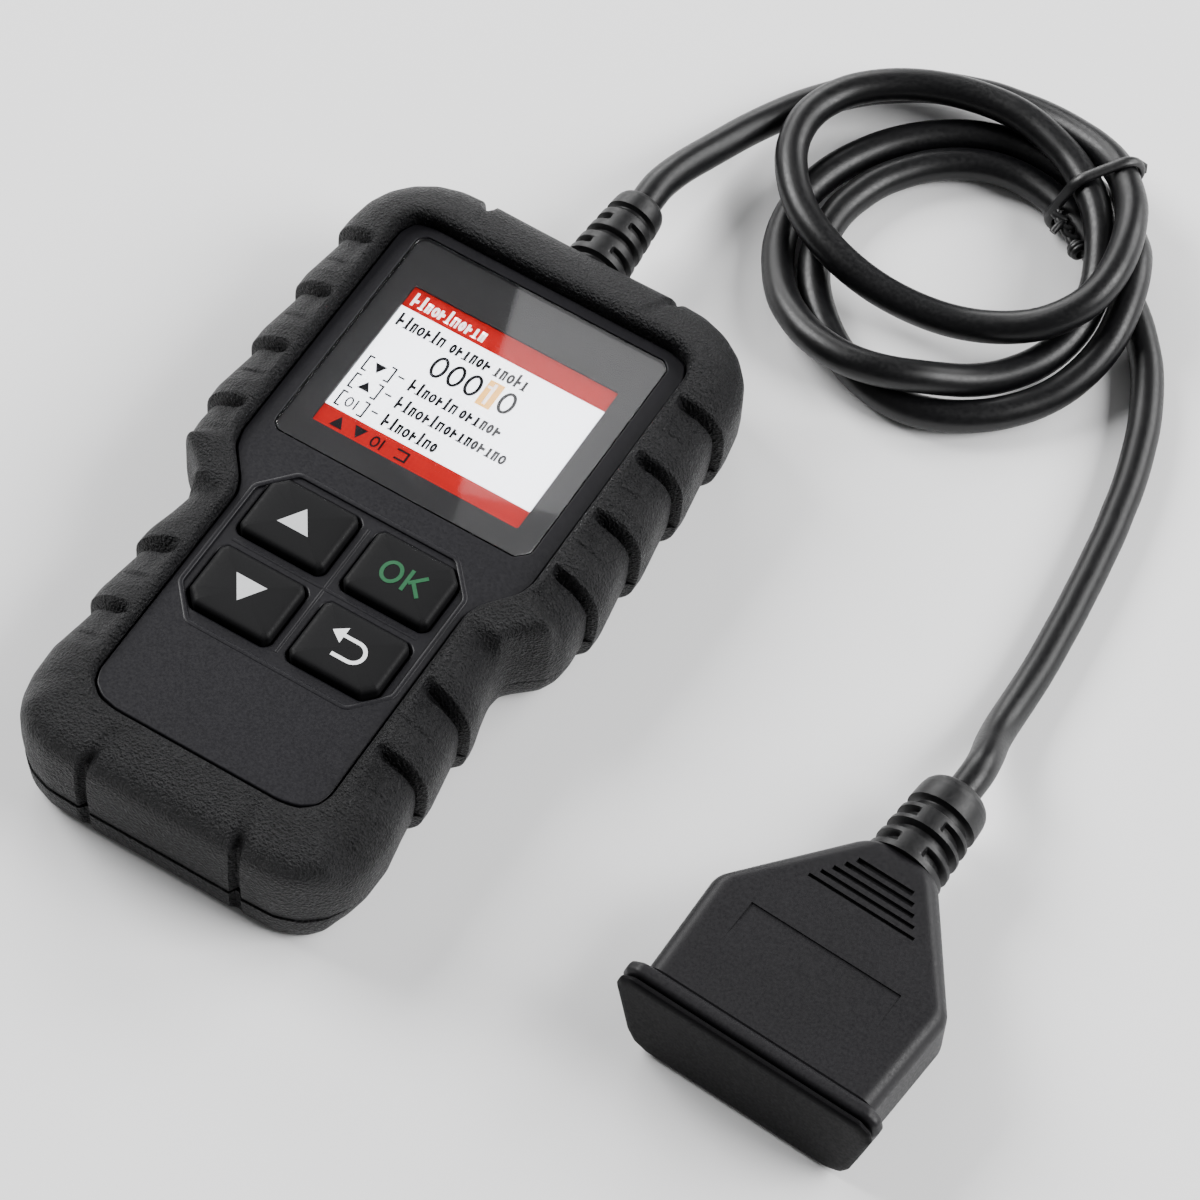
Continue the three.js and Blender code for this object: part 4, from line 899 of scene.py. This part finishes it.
words(-16.9, 34.3, 2.5, [4.0, 8.2], "lcd_pale")
words(-16.9, 30.1, 2.5, [8.6, 7.0, 5.2], "lcd_black")
box2(-11.3, 22.2, -10.2, 22.5, 18.18, "lcd_black")
box2(-11.3, 18.5, -10.2, 18.8, 18.18, "lcd_black")
box2(-11.3, 14.8, -10.2, 15.1, 18.18, "lcd_black")
words(-9.0, 20.9, 2.4, [8.2, 7.0], "lcd_black")
words(-9.0, 17.2, 2.4, [7.8, 10.4], "lcd_black")
words(-9.0, 13.5, 2.4, [9.2], "lcd_black")
# big digits: four zeros and a one, the fourth marked
DW, DH, DYC = 2.6, 4.0, 27.0
box2(0.6, 24.5, 3.1, 29.4, 18.15, "lcd_amber")
for i, cx in enumerate((-7.0, -4.05, -1.1, 1.8, 4.8)):
    if i == 3:
        box2(cx - 0.22, DYC - DH / 2, cx + 0.28, DYC + DH / 2, 18.18, "lcd_pale")
        box2(cx - 0.95, DYC + DH / 2 - 1.1, cx - 0.22, DYC + DH / 2 - 0.7, 18.18, "lcd_pale")
    else:
        stroke(oval(cx, DYC, DW / 2 - 0.3, DH / 2 - 0.2), 0.52, 18.18, "lcd_black", True)
# bracketed key signs down the left, and four small signs in the footer
for yc, sign in ((21.9, 0), (18.2, 1), (14.5, 2)):
    stroke([(-15.9, yc + 1.35), (-16.7, yc + 1.35), (-16.7, yc - 1.35), (-15.9, yc - 1.35)], 0.3, 18.18, "lcd_black")
    stroke([(-12.9, yc + 1.35), (-12.1, yc + 1.35), (-12.1, yc - 1.35), (-12.9, yc - 1.35)], 0.3, 18.18, "lcd_black")
    if sign == 0:
        patch([(-15.4, yc + 0.8), (-14.4, yc - 0.9), (-13.4, yc + 0.8)][::-1], 18.18, "lcd_black")
    elif sign == 1:
        patch([(-15.4, yc - 0.8), (-13.4, yc - 0.8), (-14.4, yc + 0.9)], 18.18, "lcd_black")
    else:
        stroke(oval(-14.9, yc, 0.5, 0.85, 12), 0.26, 18.18, "lcd_black", True)
        box2(-13.9, yc - 0.95, -13.62, yc + 0.95, 18.18, "lcd_black")
patch([(-15.4, 9.6), (-13.2, 9.6), (-14.3, 11.7)], 18.18, "lcd_black")
patch([(-11.9, 11.6), (-10.8, 9.5), (-9.7, 11.6)][::-1], 18.18, "lcd_black")
stroke(oval(-7.9, 10.6, 0.55, 0.9, 12), 0.3, 18.18, "lcd_black", True)
box2(-6.9, 9.6, -6.6, 11.6, 18.18, "lcd_black")
stroke([(-4.4, 11.4), (-2.4, 11.4), (-2.4, 9.8), (-4.2, 9.8)], 0.34, 18.18, "lcd_black")
pic = add_mesh("display_picture", pic_v, pic_f, [MAT[m] for m in PIC], smooth=False)
for p, mi in zip(pic.data.polygons, pic_m):
    p.material_index = mi
dress(pic, "case", "display")

# ------------------------------------------------------------------ keys
KEY_TOP = 20.65


def crown(x, y, cx, cy):
    return 0.16 * (1 - ((x - cx) / 7.6) ** 2) * (1 - ((y - cy) / 5.95) ** 2)


def ink(name, shapes, m, body, cx, cy):
    """Printed sign on a key top, following its crown."""
    v, f = [], []
    for pts in shapes:
        b = len(v)
        n = len(pts)
        v += [(x, y, KEY_TOP + crown(x, y, cx, cy) - 0.05) for x, y in pts]
        v += [(x, y, KEY_TOP + crown(x, y, cx, cy) + 0.035) for x, y in pts]
        f.append(tuple(range(b + n, b + 2 * n)))
        f.append(tuple(reversed(range(b, b + n))))
        for i in range(n):
            j = (i + 1) % n
            f.append((b + i, b + j, b + n + j, b + n + i))
    ob = add_mesh(name, v, f, [MAT[m]], smooth=False)
    dress(ob, body, "silicone")
    return ob


def strip(pts, w):
    """A polyline as quads of width w."""
    P = [Vector(p) for p in pts]
    out = []
    n = len(P)
    L, Rr = [], []
    for i in range(n):
        a = (P[i] - P[i - 1]) if i else P[1] - P[0]
        b = (P[i + 1] - P[i]) if i < n - 1 else P[-1] - P[-2]
        a.normalize()
        b.normalize()
        na = Vector((-a.y, a.x))
        m_ = na + Vector((-b.y, b.x))
        m_.normalize()
        q = w / 2 / max(0.5, m_.dot(na))
        L.append(P[i] + m_ * q)
        Rr.append(P[i] - m_ * q)
    for i in range(n - 1):
        out.append([tuple(Rr[i]), tuple(Rr[i + 1]), tuple(L[i + 1]), tuple(L[i])])
    return out


for name, (cx, cy) in KEYS.items():
    out = ccw(rounded(order_round(key_outline(cx, cy), cx, cy), 0.9, 6))
    rs = []
    for z, ins in [(16.5, 0.0), (19.75, 0.0), (20.0, 0.05), (20.22, 0.17), (20.42, 0.36), (20.56, 0.62), (20.63, 0.95)]:
        rs.append([(x, y, z) for x, y in offset_poly(out, ins)])
    last = offset_poly(out, 0.95)
    for t in (0.85, 0.66, 0.45, 0.22):
        ring = [(cx + (x - cx) * t, cy + (y - cy) * t) for x, y in last]
        rs.append([(x, y, KEY_TOP + crown(x, y, cx, cy)) for x, y in ring])
    key = loft("key_cap_" + name, rs, [MAT["silicone"]], sharp=50)
    weighted(key, 50)
    dress(key, "key_" + name, "silicone", "key_" + name)
ink("sign_up", [[(-11.6, -10.1), (-6.3, -10.1), (-8.95, -6.1)]], "ink_grey", "key_up", *KEYS["up"])
ink("sign_down", [[(-8.95, -24.7), (-6.3, -20.7), (-11.6, -20.7)]], "ink_grey", "key_down", *KEYS["down"])
o_ring = []
oc = (7.15, -8.5)
for i in range(30):
    a0, a1 = 2 * math.pi * i / 30, 2 * math.pi * (i + 1) / 30
    o_ring.append([(oc[0] + 1.15 * math.cos(a0), oc[1] + 1.4 * math.sin(a0)), (oc[0] + 1.75 * math.cos(a0), oc[1] + 2.0 * math.sin(a0)),
                   (oc[0] + 1.75 * math.cos(a1), oc[1] + 2.0 * math.sin(a1)), (oc[0] + 1.15 * math.cos(a1), oc[1] + 1.4 * math.sin(a1))])
kx = 9.8
k_bars = strip([(kx, -10.45), (kx, -6.55)], 0.6) + strip([(kx + 0.35, -8.85), (kx + 2.5, -6.6)], 0.6) + strip([(kx + 0.9, -8.3), (kx + 2.75, -10.4)], 0.62)
ink("sign_confirm", o_ring + k_bars, "ink_green", "key_ok", *KEYS["ok"])
arc = [(6.9, -21.3)] + [(9.9, -21.3)] + [(9.9 + 1.75 * math.sin(t), -23.05 + 1.75 * math.cos(t)) for t in np.linspace(0.15, math.pi, 12)] + [(7.2, -24.8)]
ink("sign_return", strip(arc, 0.62) + [[(5.3, -21.3), (7.3, -22.75), (7.3, -19.85)]], "ink_white", "key_back", *KEYS["back"])

# ------------------------------------------------------------------ strain reliefs
def turned(name, base, step, place, mats, seg=112):
    """Turned rubber sleeve. base(t) is its radius; grooves are cut by depth(t, angle)."""
    prof, cut_full, cut_part, t0, t1 = base
    ts = np.arange(t0, t1 + 1e-6, step)
    rs = []
    for t in ts:
        r0 = float(np.interp(t, [p[0] for p in prof], [p[1] for p in prof]))
        ring = []
        for i in range(seg):
            a = 2 * math.pi * i / seg
            d = 0.0
            for c, wd, dp in cut_full:
                d = max(d, dp * float(1 - smoothstep(wd / 2 - 0.12, wd / 2 + 0.14, abs(t - c))))
            for c, wd, dp in cut_part:
                across = min(abs(math.atan2(math.sin(a - b), math.cos(a - b))) for b in (math.pi / 2, -math.pi / 2))
                mask = float(smoothstep(0.34, 0.46, across))
                d = max(d, dp * mask * float(1 - smoothstep(wd / 2 - 0.12, wd / 2 + 0.14, abs(t - c))))
            r = r0 - d
            ring.append(place(t, r * math.cos(a), r * math.sin(a)))
        rs.append(ring)
    ob = loft(name, rs, mats, sharp=None)
    finish_mesh(ob, 60)
    return ob


case_prof = [(53.4, 5.9), (55.9, 5.9), (56.0, 3.75), (58.3, 3.75), (58.4, 4.9), (58.65, 5.25), (60.9, 5.2), (65.9, 4.85), (70.9, 4.45),
             (73.4, 4.2), (74.1, 4.05), (74.7, 3.75), (75.1, 3.3), (75.2, 2.7)]
case_relief = turned("case_sleeve", (case_prof, [(59.75, 1.3, 1.15), (65.2, 1.3, 1.1), (70.8, 1.2, 1.0)],
                                     [(62.4, 1.15, 1.05), (68.0, 1.15, 1.0)], 53.4, 75.2), 0.11,
                     lambda t, u, v: (u, t, 9.5 + v), [MAT["relief"]])
dress(case_relief, "case", "silicone", "cable_relief")

PO = Vector((88.9, -46.9, 8.9))
TURN = math.radians(-3.6)
PX = Vector((math.cos(TURN), math.sin(TURN), 0))
PY = Vector((-math.sin(TURN), math.cos(TURN), 0))


def plug_at(x, y, z):
    p = PO + PX * x + PY * y
    return (p.x, p.y, p.z + z)


plug_prof = [(0, 6.2), (1, 6.2), (4, 6.08), (8, 5.85), (12.0, 5.65), (13.4, 5.55), (14.3, 5.35), (15.0, 4.95), (15.5, 4.4), (15.8, 3.8), (15.9, 3.0)]
plug_sleeve = turned("plug_sleeve", (plug_prof, [(4.5, 1.65, 1.35), (9.6, 1.65, 1.3)],
                                     [(1.9, 1.5, 1.3), (7.05, 1.5, 1.25)], 0.0, 15.9), 0.11,
                     lambda t, u, v: plug_at(u, 41.5 + t, 0.1 + v), [MAT["relief"]])
dress(plug_sleeve, "case", "silicone", "plug_relief")

# ------------------------------------------------------------------ connector
N_RING = 320


def ray_ring(poly, a, b):
    """Points of a convex outline about the origin, spread evenly in its own proportions."""
    P = np.array(poly, float)
    Q = np.roll(P, -1, 0)
    out = []
    for i in range(N_RING):
        t = 2 * math.pi * (i + 0.5) / N_RING
        q = abs(math.cos(t)) ** 4 + abs(math.sin(t)) ** 4
        dx, dz = a * math.cos(t), b * math.sin(t)
        den = dx * (Q[:, 1] - P[:, 1]) - dz * (Q[:, 0] - P[:, 0])
        den = np.where(np.abs(den) < 1e-12, 1e-12, den)
        s = (P[:, 0] * (Q[:, 1] - P[:, 1]) - P[:, 1] * (Q[:, 0] - P[:, 0])) / den
        u = (P[:, 0] * dz - P[:, 1] * dx) / den
        ok = (s > 0) & (u >= -1e-9) & (u <= 1 + 1e-9)
        s = s[ok].min()
        out.append((dx * s, dz * s))
    return out


def dee_outline(d, r=1.0):
    a, b = 21.4 - d, 8.8 - d
    if d < 2.5:  # the flange and the cap draw in further towards the floor than the mouth does
        right_side = [(a - 5.8, -b), (a - 3.7, -b + 1.0), (a - 2.5, -b + 3.2), (a, b - 3.2), (a - 0.5, b - 1.2), (a - 2.2, b)]
    else:
        right_side = [(a - 3.6, -b), (a - 1.6, -b + 1.2), (a - 0.7, -b + 4), (a, b - 3.2), (a - 0.5, b - 1.2), (a - 2.2, b)]
    pts = right_side + [(-x, z) for x, z in right_side[::-1]]
    return ccw(rounded(ccw(pts), r, 5))


def body_outline(a, b, c):
    q = min(1.0, max(0.0, (a - 7.5) / 6.0))  # lower corners cut back along the wide part
    if q <= 0:
        return ccw(rounded(rect(0, 0, 2 * a, 2 * b), c, 10))
    cx, cz = 1.2 + 2.3 * q, 1.2 + 2.6 * q
    pts = [(-a + cx, -b), (a - cx, -b), (a, -b + cz), (a, b), (-a, b), (-a, -b + cz)]
    return ccw(rounded(pts, [1.4, 1.4, 1.6, c, c, 1.6], 8))


def dee_ring(y, d, r=1.0):
    return [plug_at(x, y, z) for x, z in ray_ring(dee_outline(d, r), 21.4 - d, 8.8 - d)]


def body_ring(y, a, b, c):
    return [plug_at(x, y, z) for x, z in ray_ring(body_outline(a, b, c), a, b)]


rs = [body_ring(42.1, 3.4, 3.2, 2.6), body_ring(42.05, 4.4, 4.1, 3.2), body_ring(41.8, 5.4, 4.9, 3.6), body_ring(41.3, 6.1, 5.35, 3.6), body_ring(40.6, 6.7, 5.65, 3.4),
      body_ring(39.8, 7.3, 5.8, 3.2)]
for t in np.linspace(0.06, 0.97, 22):
    rs.append(body_ring(39.8 + (23.6 - 39.8) * t, 7.3 + (19.0 - 7.3) * t, 5.8 + (7.0 - 5.8) * t, 3.2 - 0.7 * t))
rs += [body_ring(23.5, 19.05, 7.0, 2.5), body_ring(23.0, 19.3, 7.03, 2.5), body_ring(22.4, 19.5, 7.06, 2.5), body_ring(21.6, 19.62, 7.1, 2.5)]
for t in np.linspace(0.1, 1.0, 9):
    rs.append(body_ring(21.6 + (4.75 - 21.6) * t, 19.62 - 0.7 * t, 7.1 + 0.2 * t, 2.5))
rs += [body_ring(4.6, 18.75, 7.15, 2.4), body_ring(4.42, 18.5, 6.95, 2.3), body_ring(4.3, 18.5, 6.95, 2.3)]
rs += [dee_ring(4.12, 1.0), dee_ring(4.0, 0.62), dee_ring(3.82, 0.3), dee_ring(3.5, 0.08), dee_ring(3.1, 0.0), dee_ring(2.5, 0.0),
       dee_ring(2.15, 0.08), dee_ring(1.85, 0.3), dee_ring(1.66, 0.62), dee_ring(1.6, 1.0), dee_ring(1.6, 3.0, 0.8), dee_ring(1.75, 3.2, 0.8), dee_ring(20.2, 3.2, 0.8)]
housing = loft("plug_body", rs, [MAT["plug"]], sharp=None)


def plug_box(x0, x1, y0, y1, z0, z1, z1b=None, z0b=None):
    """Block on the plug's axes; z0b gives its floor height at the far y end."""
    z0b = z0 if z0b is None else z0b
    c = [(x0, y0, z0), (x1, y0, z0), (x1, y1, z0b), (x0, y1, z0b), (x0, y0, z1), (x1, y0, z1), (x1, y1, z1), (x0, y1, z1)]
    v = [plug_at(*p) for p in c]
    ob = add_mesh("cutter", v, [(3, 2, 1, 0), (4, 5, 6, 7), (0, 1, 5, 4), (1, 2, 6, 5), (2, 3, 7, 6), (3, 0, 4, 7)], smooth=False)
    fix_normals(ob)
    return ob


cuts = []
for i in range(5):
    y = 36.5 - 1.58 * i
    hw = 4.7 + 1.05 * i
    top = 5.8 + (7.0 - 5.8) * (39.8 - y) / 16.2
    cuts.append(plug_box(-hw, hw, y - 0.46 + 0.04 * i, y + 0.46 - 0.04 * i, top - 0.85, top + 2))
cuts.append(plug_box(-12.7, 12.5, 11.0, 21.4, 7.34, 9.0, z0b=6.84))
boolean(housing, cuts)
finish_mesh(housing, 32)
wn = housing.modifiers.new("wn", "WEIGHTED_NORMAL")
wn.keep_sharp = True
baked(housing)
dress(housing, "case", "plug_plastic", "plug_housing")

crs = [dee_ring(6.0, 4.45, 0.7), dee_ring(6.0, 3.6, 0.8), dee_ring(5.8, 3.42, 0.8), dee_ring(1.36, 3.42, 0.8), dee_ring(1.3, 3.2, 0.8), dee_ring(1.3, 0.85),
       dee_ring(1.24, 0.5), dee_ring(1.05, 0.24), dee_ring(0.75, 0.12), dee_ring(0.45, 0.16), dee_ring(0.2, 0.42), dee_ring(0.04, 0.8), dee_ring(0.0, 1.2), dee_ring(0.0, 1.9)]
cap = loft("cap_shell", crs, [MAT["cap"]], sharp=None)
boolean(cap, [loft("cutter", [dee_ring(y, 4.45, 0.7) for y in (1.3, 8.0)], smooth=False)])
finish_mesh(cap, 32)
wn = cap.modifiers.new("wn", "WEIGHTED_NORMAL")
wn.keep_sharp = True
baked(cap)
dress(cap, "dust_cap", "plug_plastic", "dust_cap")

# ------------------------------------------------------------------ twist tie
TA = 0.98
TC = Vector((43, 97, 0))
TU, TV, TW = Vector((math.cos(TA), math.sin(TA), 0)), Vector((0, 0, 1)), Vector((-math.sin(TA), math.cos(TA), 0))
strands = []
RP = [Vector(p) for p in ROUTE]
for a, b in zip(RP, RP[1:]):
    wa, wb = (a - TC).dot(TW), (b - TC).dot(TW)
    if wa * wb <= 0 and abs(wa - wb) > 1e-9 and (a - TC).dot(TU) > 5:
        p = a.lerp(b, wa / (wa - wb))
        strands.append(((p - TC).dot(TU), p.z))


def hull(points):
    pts = sorted(set(points))
    def half(seq):
        h = []
        for p in seq:
            while len(h) >= 2 and (h[-1][0] - h[-2][0]) * (p[1] - h[-2][1]) - (h[-1][1] - h[-2][1]) * (p[0] - h[-2][0]) <= 0:
                h.pop()
            h.append(p)
        return h
    lo, hi = half(pts), half(pts[::-1])
    return lo[:-1] + hi[:-1]


WIRE = 0.62
pts2 = []
for u, v in strands:
    for i in range(24):
        t = 2 * math.pi * i / 24
        pts2.append((round(u + (CABLE_D / 2 + WIRE + 0.05) * math.cos(t), 4), round(max(WIRE + 0.05, v + (CABLE_D / 2 + WIRE + 0.05) * math.sin(t)), 4)))
band = hull(pts2)
B = np.array(band + band[:1])
seg = np.hypot(*np.diff(B, axis=0).T)
s = np.concatenate([[0], np.cumsum(seg)])
nb = 96
tt = np.arange(nb) * s[-1] / nb
bu, bv = np.interp(tt, s, B[:, 0]), np.interp(tt, s, B[:, 1])
umid = (bu.max() + bu.min()) / 2


def tube(name, pts, radius, mats, closed=False, seg=14, flat=1.0, side=None):
    """Tube along points; flat stretches its section along side."""
    P = [Vector(p) for p in pts]
    n = len(P)
    rings = []
    ref = None
    for i in range(n):
        a = P[i - 1] if (i or closed) else P[i]
        b = P[(i + 1) % n] if (i < n - 1 or closed) else P[i]
        t = (b - a).normalized()
        if side is not None:
            u = (side - t * side.dot(t)).normalized()
        else:
            if ref is None:
                ref = Vector((0, 0, 1)) if abs(t.z) < 0.9 else Vector((1, 0, 0))
            u = (ref - t * ref.dot(t)).normalized()
            ref = u
        w_ = t.cross(u)
        r = radius[i] if isinstance(radius, (list, tuple)) else radius
        rings.append([tuple(P[i] + u * (r * flat * math.cos(2 * math.pi * k_ / seg)) + w_ * (r * math.sin(2 * math.pi * k_ / seg))) for k_ in range(seg)])
    if closed:
        return closed_tube(name, np.array(rings), mats, None)
    return loft(name, rings, mats, sharp=None)


def tie_at(u, v, w_):
    p = TC + TU * u + TV * v + TW * w_
    return (p.x, p.y, p.z)


loop_pts = [tie_at(u, v, 0.9 * (umid - u) / 10.0) for u, v in zip(bu, bv)]
tie = tube("tie_band", loop_pts, WIRE, [MAT["tie"]], True, 14, 1.5, TW)
umin = float(bu.min())
vk = 7.0
tails = []
for ph in (0.0, math.pi):
    line = []
    for i in range(40):
        q = i / 39
        tw = 3.4 * math.pi * q + ph
        line.append(tie_at(umin + 0.25 + 0.35 * q + 0.55 * math.cos(tw), vk - 1.3 * q, -0.9 - 6.0 * q + 0.45 * math.sin(tw)))
    tails.append(tube("tail", line, WIRE, [MAT["tie"]], False, 12))
tails.append(tube("tail", [tie_at(umin + 0.1 - 2.3 * q, vk - 0.4 + 0.5 * math.sin(2.5 * q), -3.0 - 1.1 * q) for q in np.linspace(0, 1, 9)], WIRE, [MAT["tie"]], False, 12))
# the rolled end of the tails
ball = []
for i in range(90):
    q = i / 89
    t = 2 * math.pi * 3.2 * q
    rr = 0.25 + 0.85 * math.sin(math.pi * (0.12 + 0.76 * q))
    ball.append(tie_at(umin + 0.55 + rr * math.cos(t), vk - 1.7 + rr * math.sin(t), -6.6 - 2.0 * q))
tails.append(tube("tail", ball, 0.58, [MAT["tie"]], False, 12))
out_u = float(bu.max())
tails.append(tube("tail", [tie_at(out_u - 0.6, 9.2, -0.9), tie_at(out_u + 0.35, 9.9, -0.9), tie_at(out_u + 0.5, 10.6, -0.6), tie_at(out_u - 0.2, 11.2, -0.2), tie_at(out_u - 1.2, 11.4, 0.3)],
             0.6, [MAT["tie"]], False, 12))
bm = bmesh.new()
bm.from_mesh(tie.data)
for t_ in tails:
    bm.from_mesh(t_.data)
    bpy.data.objects.remove(t_)
bm.to_mesh(tie.data)
bm.free()
finish_mesh(tie, 50)
dress(tie, "case", "tie", "cable_tie")

# ------------------------------------------------------------------ carried-over parts
KEEP = {
    "rear_label": "label", "lcd_panel": "border", "lcd_backlight": "guide", "lcd_frame": "can", "lcd_flex": "flex",
    "key_mat": "silicone", "main_board": "board", "mcu_chip": "chip", "memory_chip": "chip", "can_transceiver": "chip",
    "voltage_regulator": "chip", "crystal": "can", "capacitor_1": "can", "capacitor_2": "can", "cable_header": "nylon",
    "crimp_plug": "nylon", "board_screw_1": "steel", "board_screw_2": "steel", "connector_insert": "cap",
    "contact_row_upper": "brass", "contact_row_lower": "brass",
}
for i in range(1, 5):
    KEEP["case_screw_%d" % i] = "steel"
    KEEP["dome_switch_%d" % i] = "can"
for node, key in KEEP.items():
    ob = bpy.data.objects[node]
    if not ob.material_slots:
        ob.data.materials.append(MAT[key])
    for sl in ob.material_slots:
        sl.material = MAT[key]

# ------------------------------------------------------------------ floor and light
floor_me = bpy.data.meshes.new("floor")
floor_me.from_pydata([(-4, -4, -0.0003), (4, -4, -0.0003), (4, 4, -0.0003), (-4, 4, -0.0003)], [], [(0, 1, 2, 3)])
floor = bpy.data.objects.new("floor", floor_me)
scene.collection.objects.link(floor)
fm = Nodes("floor_paper", (0.86, 0.86, 0.865), 0.9, spec=0.1)
fm.color(fm.ramp(fm.noise(6.0, 2.0), [(0.3, (0.87, 0.87, 0.875)), (0.7, (0.90, 0.90, 0.905))]))
floor_me.materials.append(fm.m)

world = bpy.data.worlds.new("studio")
scene.world = world
world.use_nodes = True
bg = world.node_tree.nodes["Background"]
bg.inputs["Color"].default_value = (1.0, 1.0, 1.0, 1)
bg.inputs["Strength"].default_value = 0.15


def area(name, loc, target, size, power, size_y=None, spread=None):
    d = bpy.data.lights.new(name, "AREA")
    d.energy = power
    d.shape = "RECTANGLE"
    d.size = size
    d.size_y = size_y or size
    if spread:
        d.spread = math.radians(spread)
    ob = bpy.data.objects.new(name, d)
    ob.location = loc
    ob.rotation_euler = (Vector(target) - Vector(loc)).to_track_quat("-Z", "Y").to_euler()
    scene.collection.objects.link(ob)
    return ob


area("soft_left", (-1.45, 0.15, 1.15), (0.03, 0.02, 0.0), 0.95, 50.0)
area("soft_right", (1.35, 0.45, 1.05), (0.03, 0.02, 0.0), 0.95, 45.0)
area("soft_back", (0.75, 1.35, 0.75), (0.03, 0.02, 0.0), 0.9, 22.0)
area("soft_back_left", (-1.0, 1.15, 0.6), (0.03, 0.02, 0.0), 0.8, 15.0)
for i, (gx, gy, wd, ht, pw) in enumerate([(-0.2956, 0.6568, 0.10, 0.13, 0.055), (-0.2830, 0.6190, 0.10, 0.21, 0.045)]):
    glint = area("window_glint_%d" % i, (gx, gy, 1.0195 + 0.01 * i), (gx, gy, 0.0), wd, pw, ht)
    glint.rotation_euler = (0.0, 0.0, math.radians(18.4))
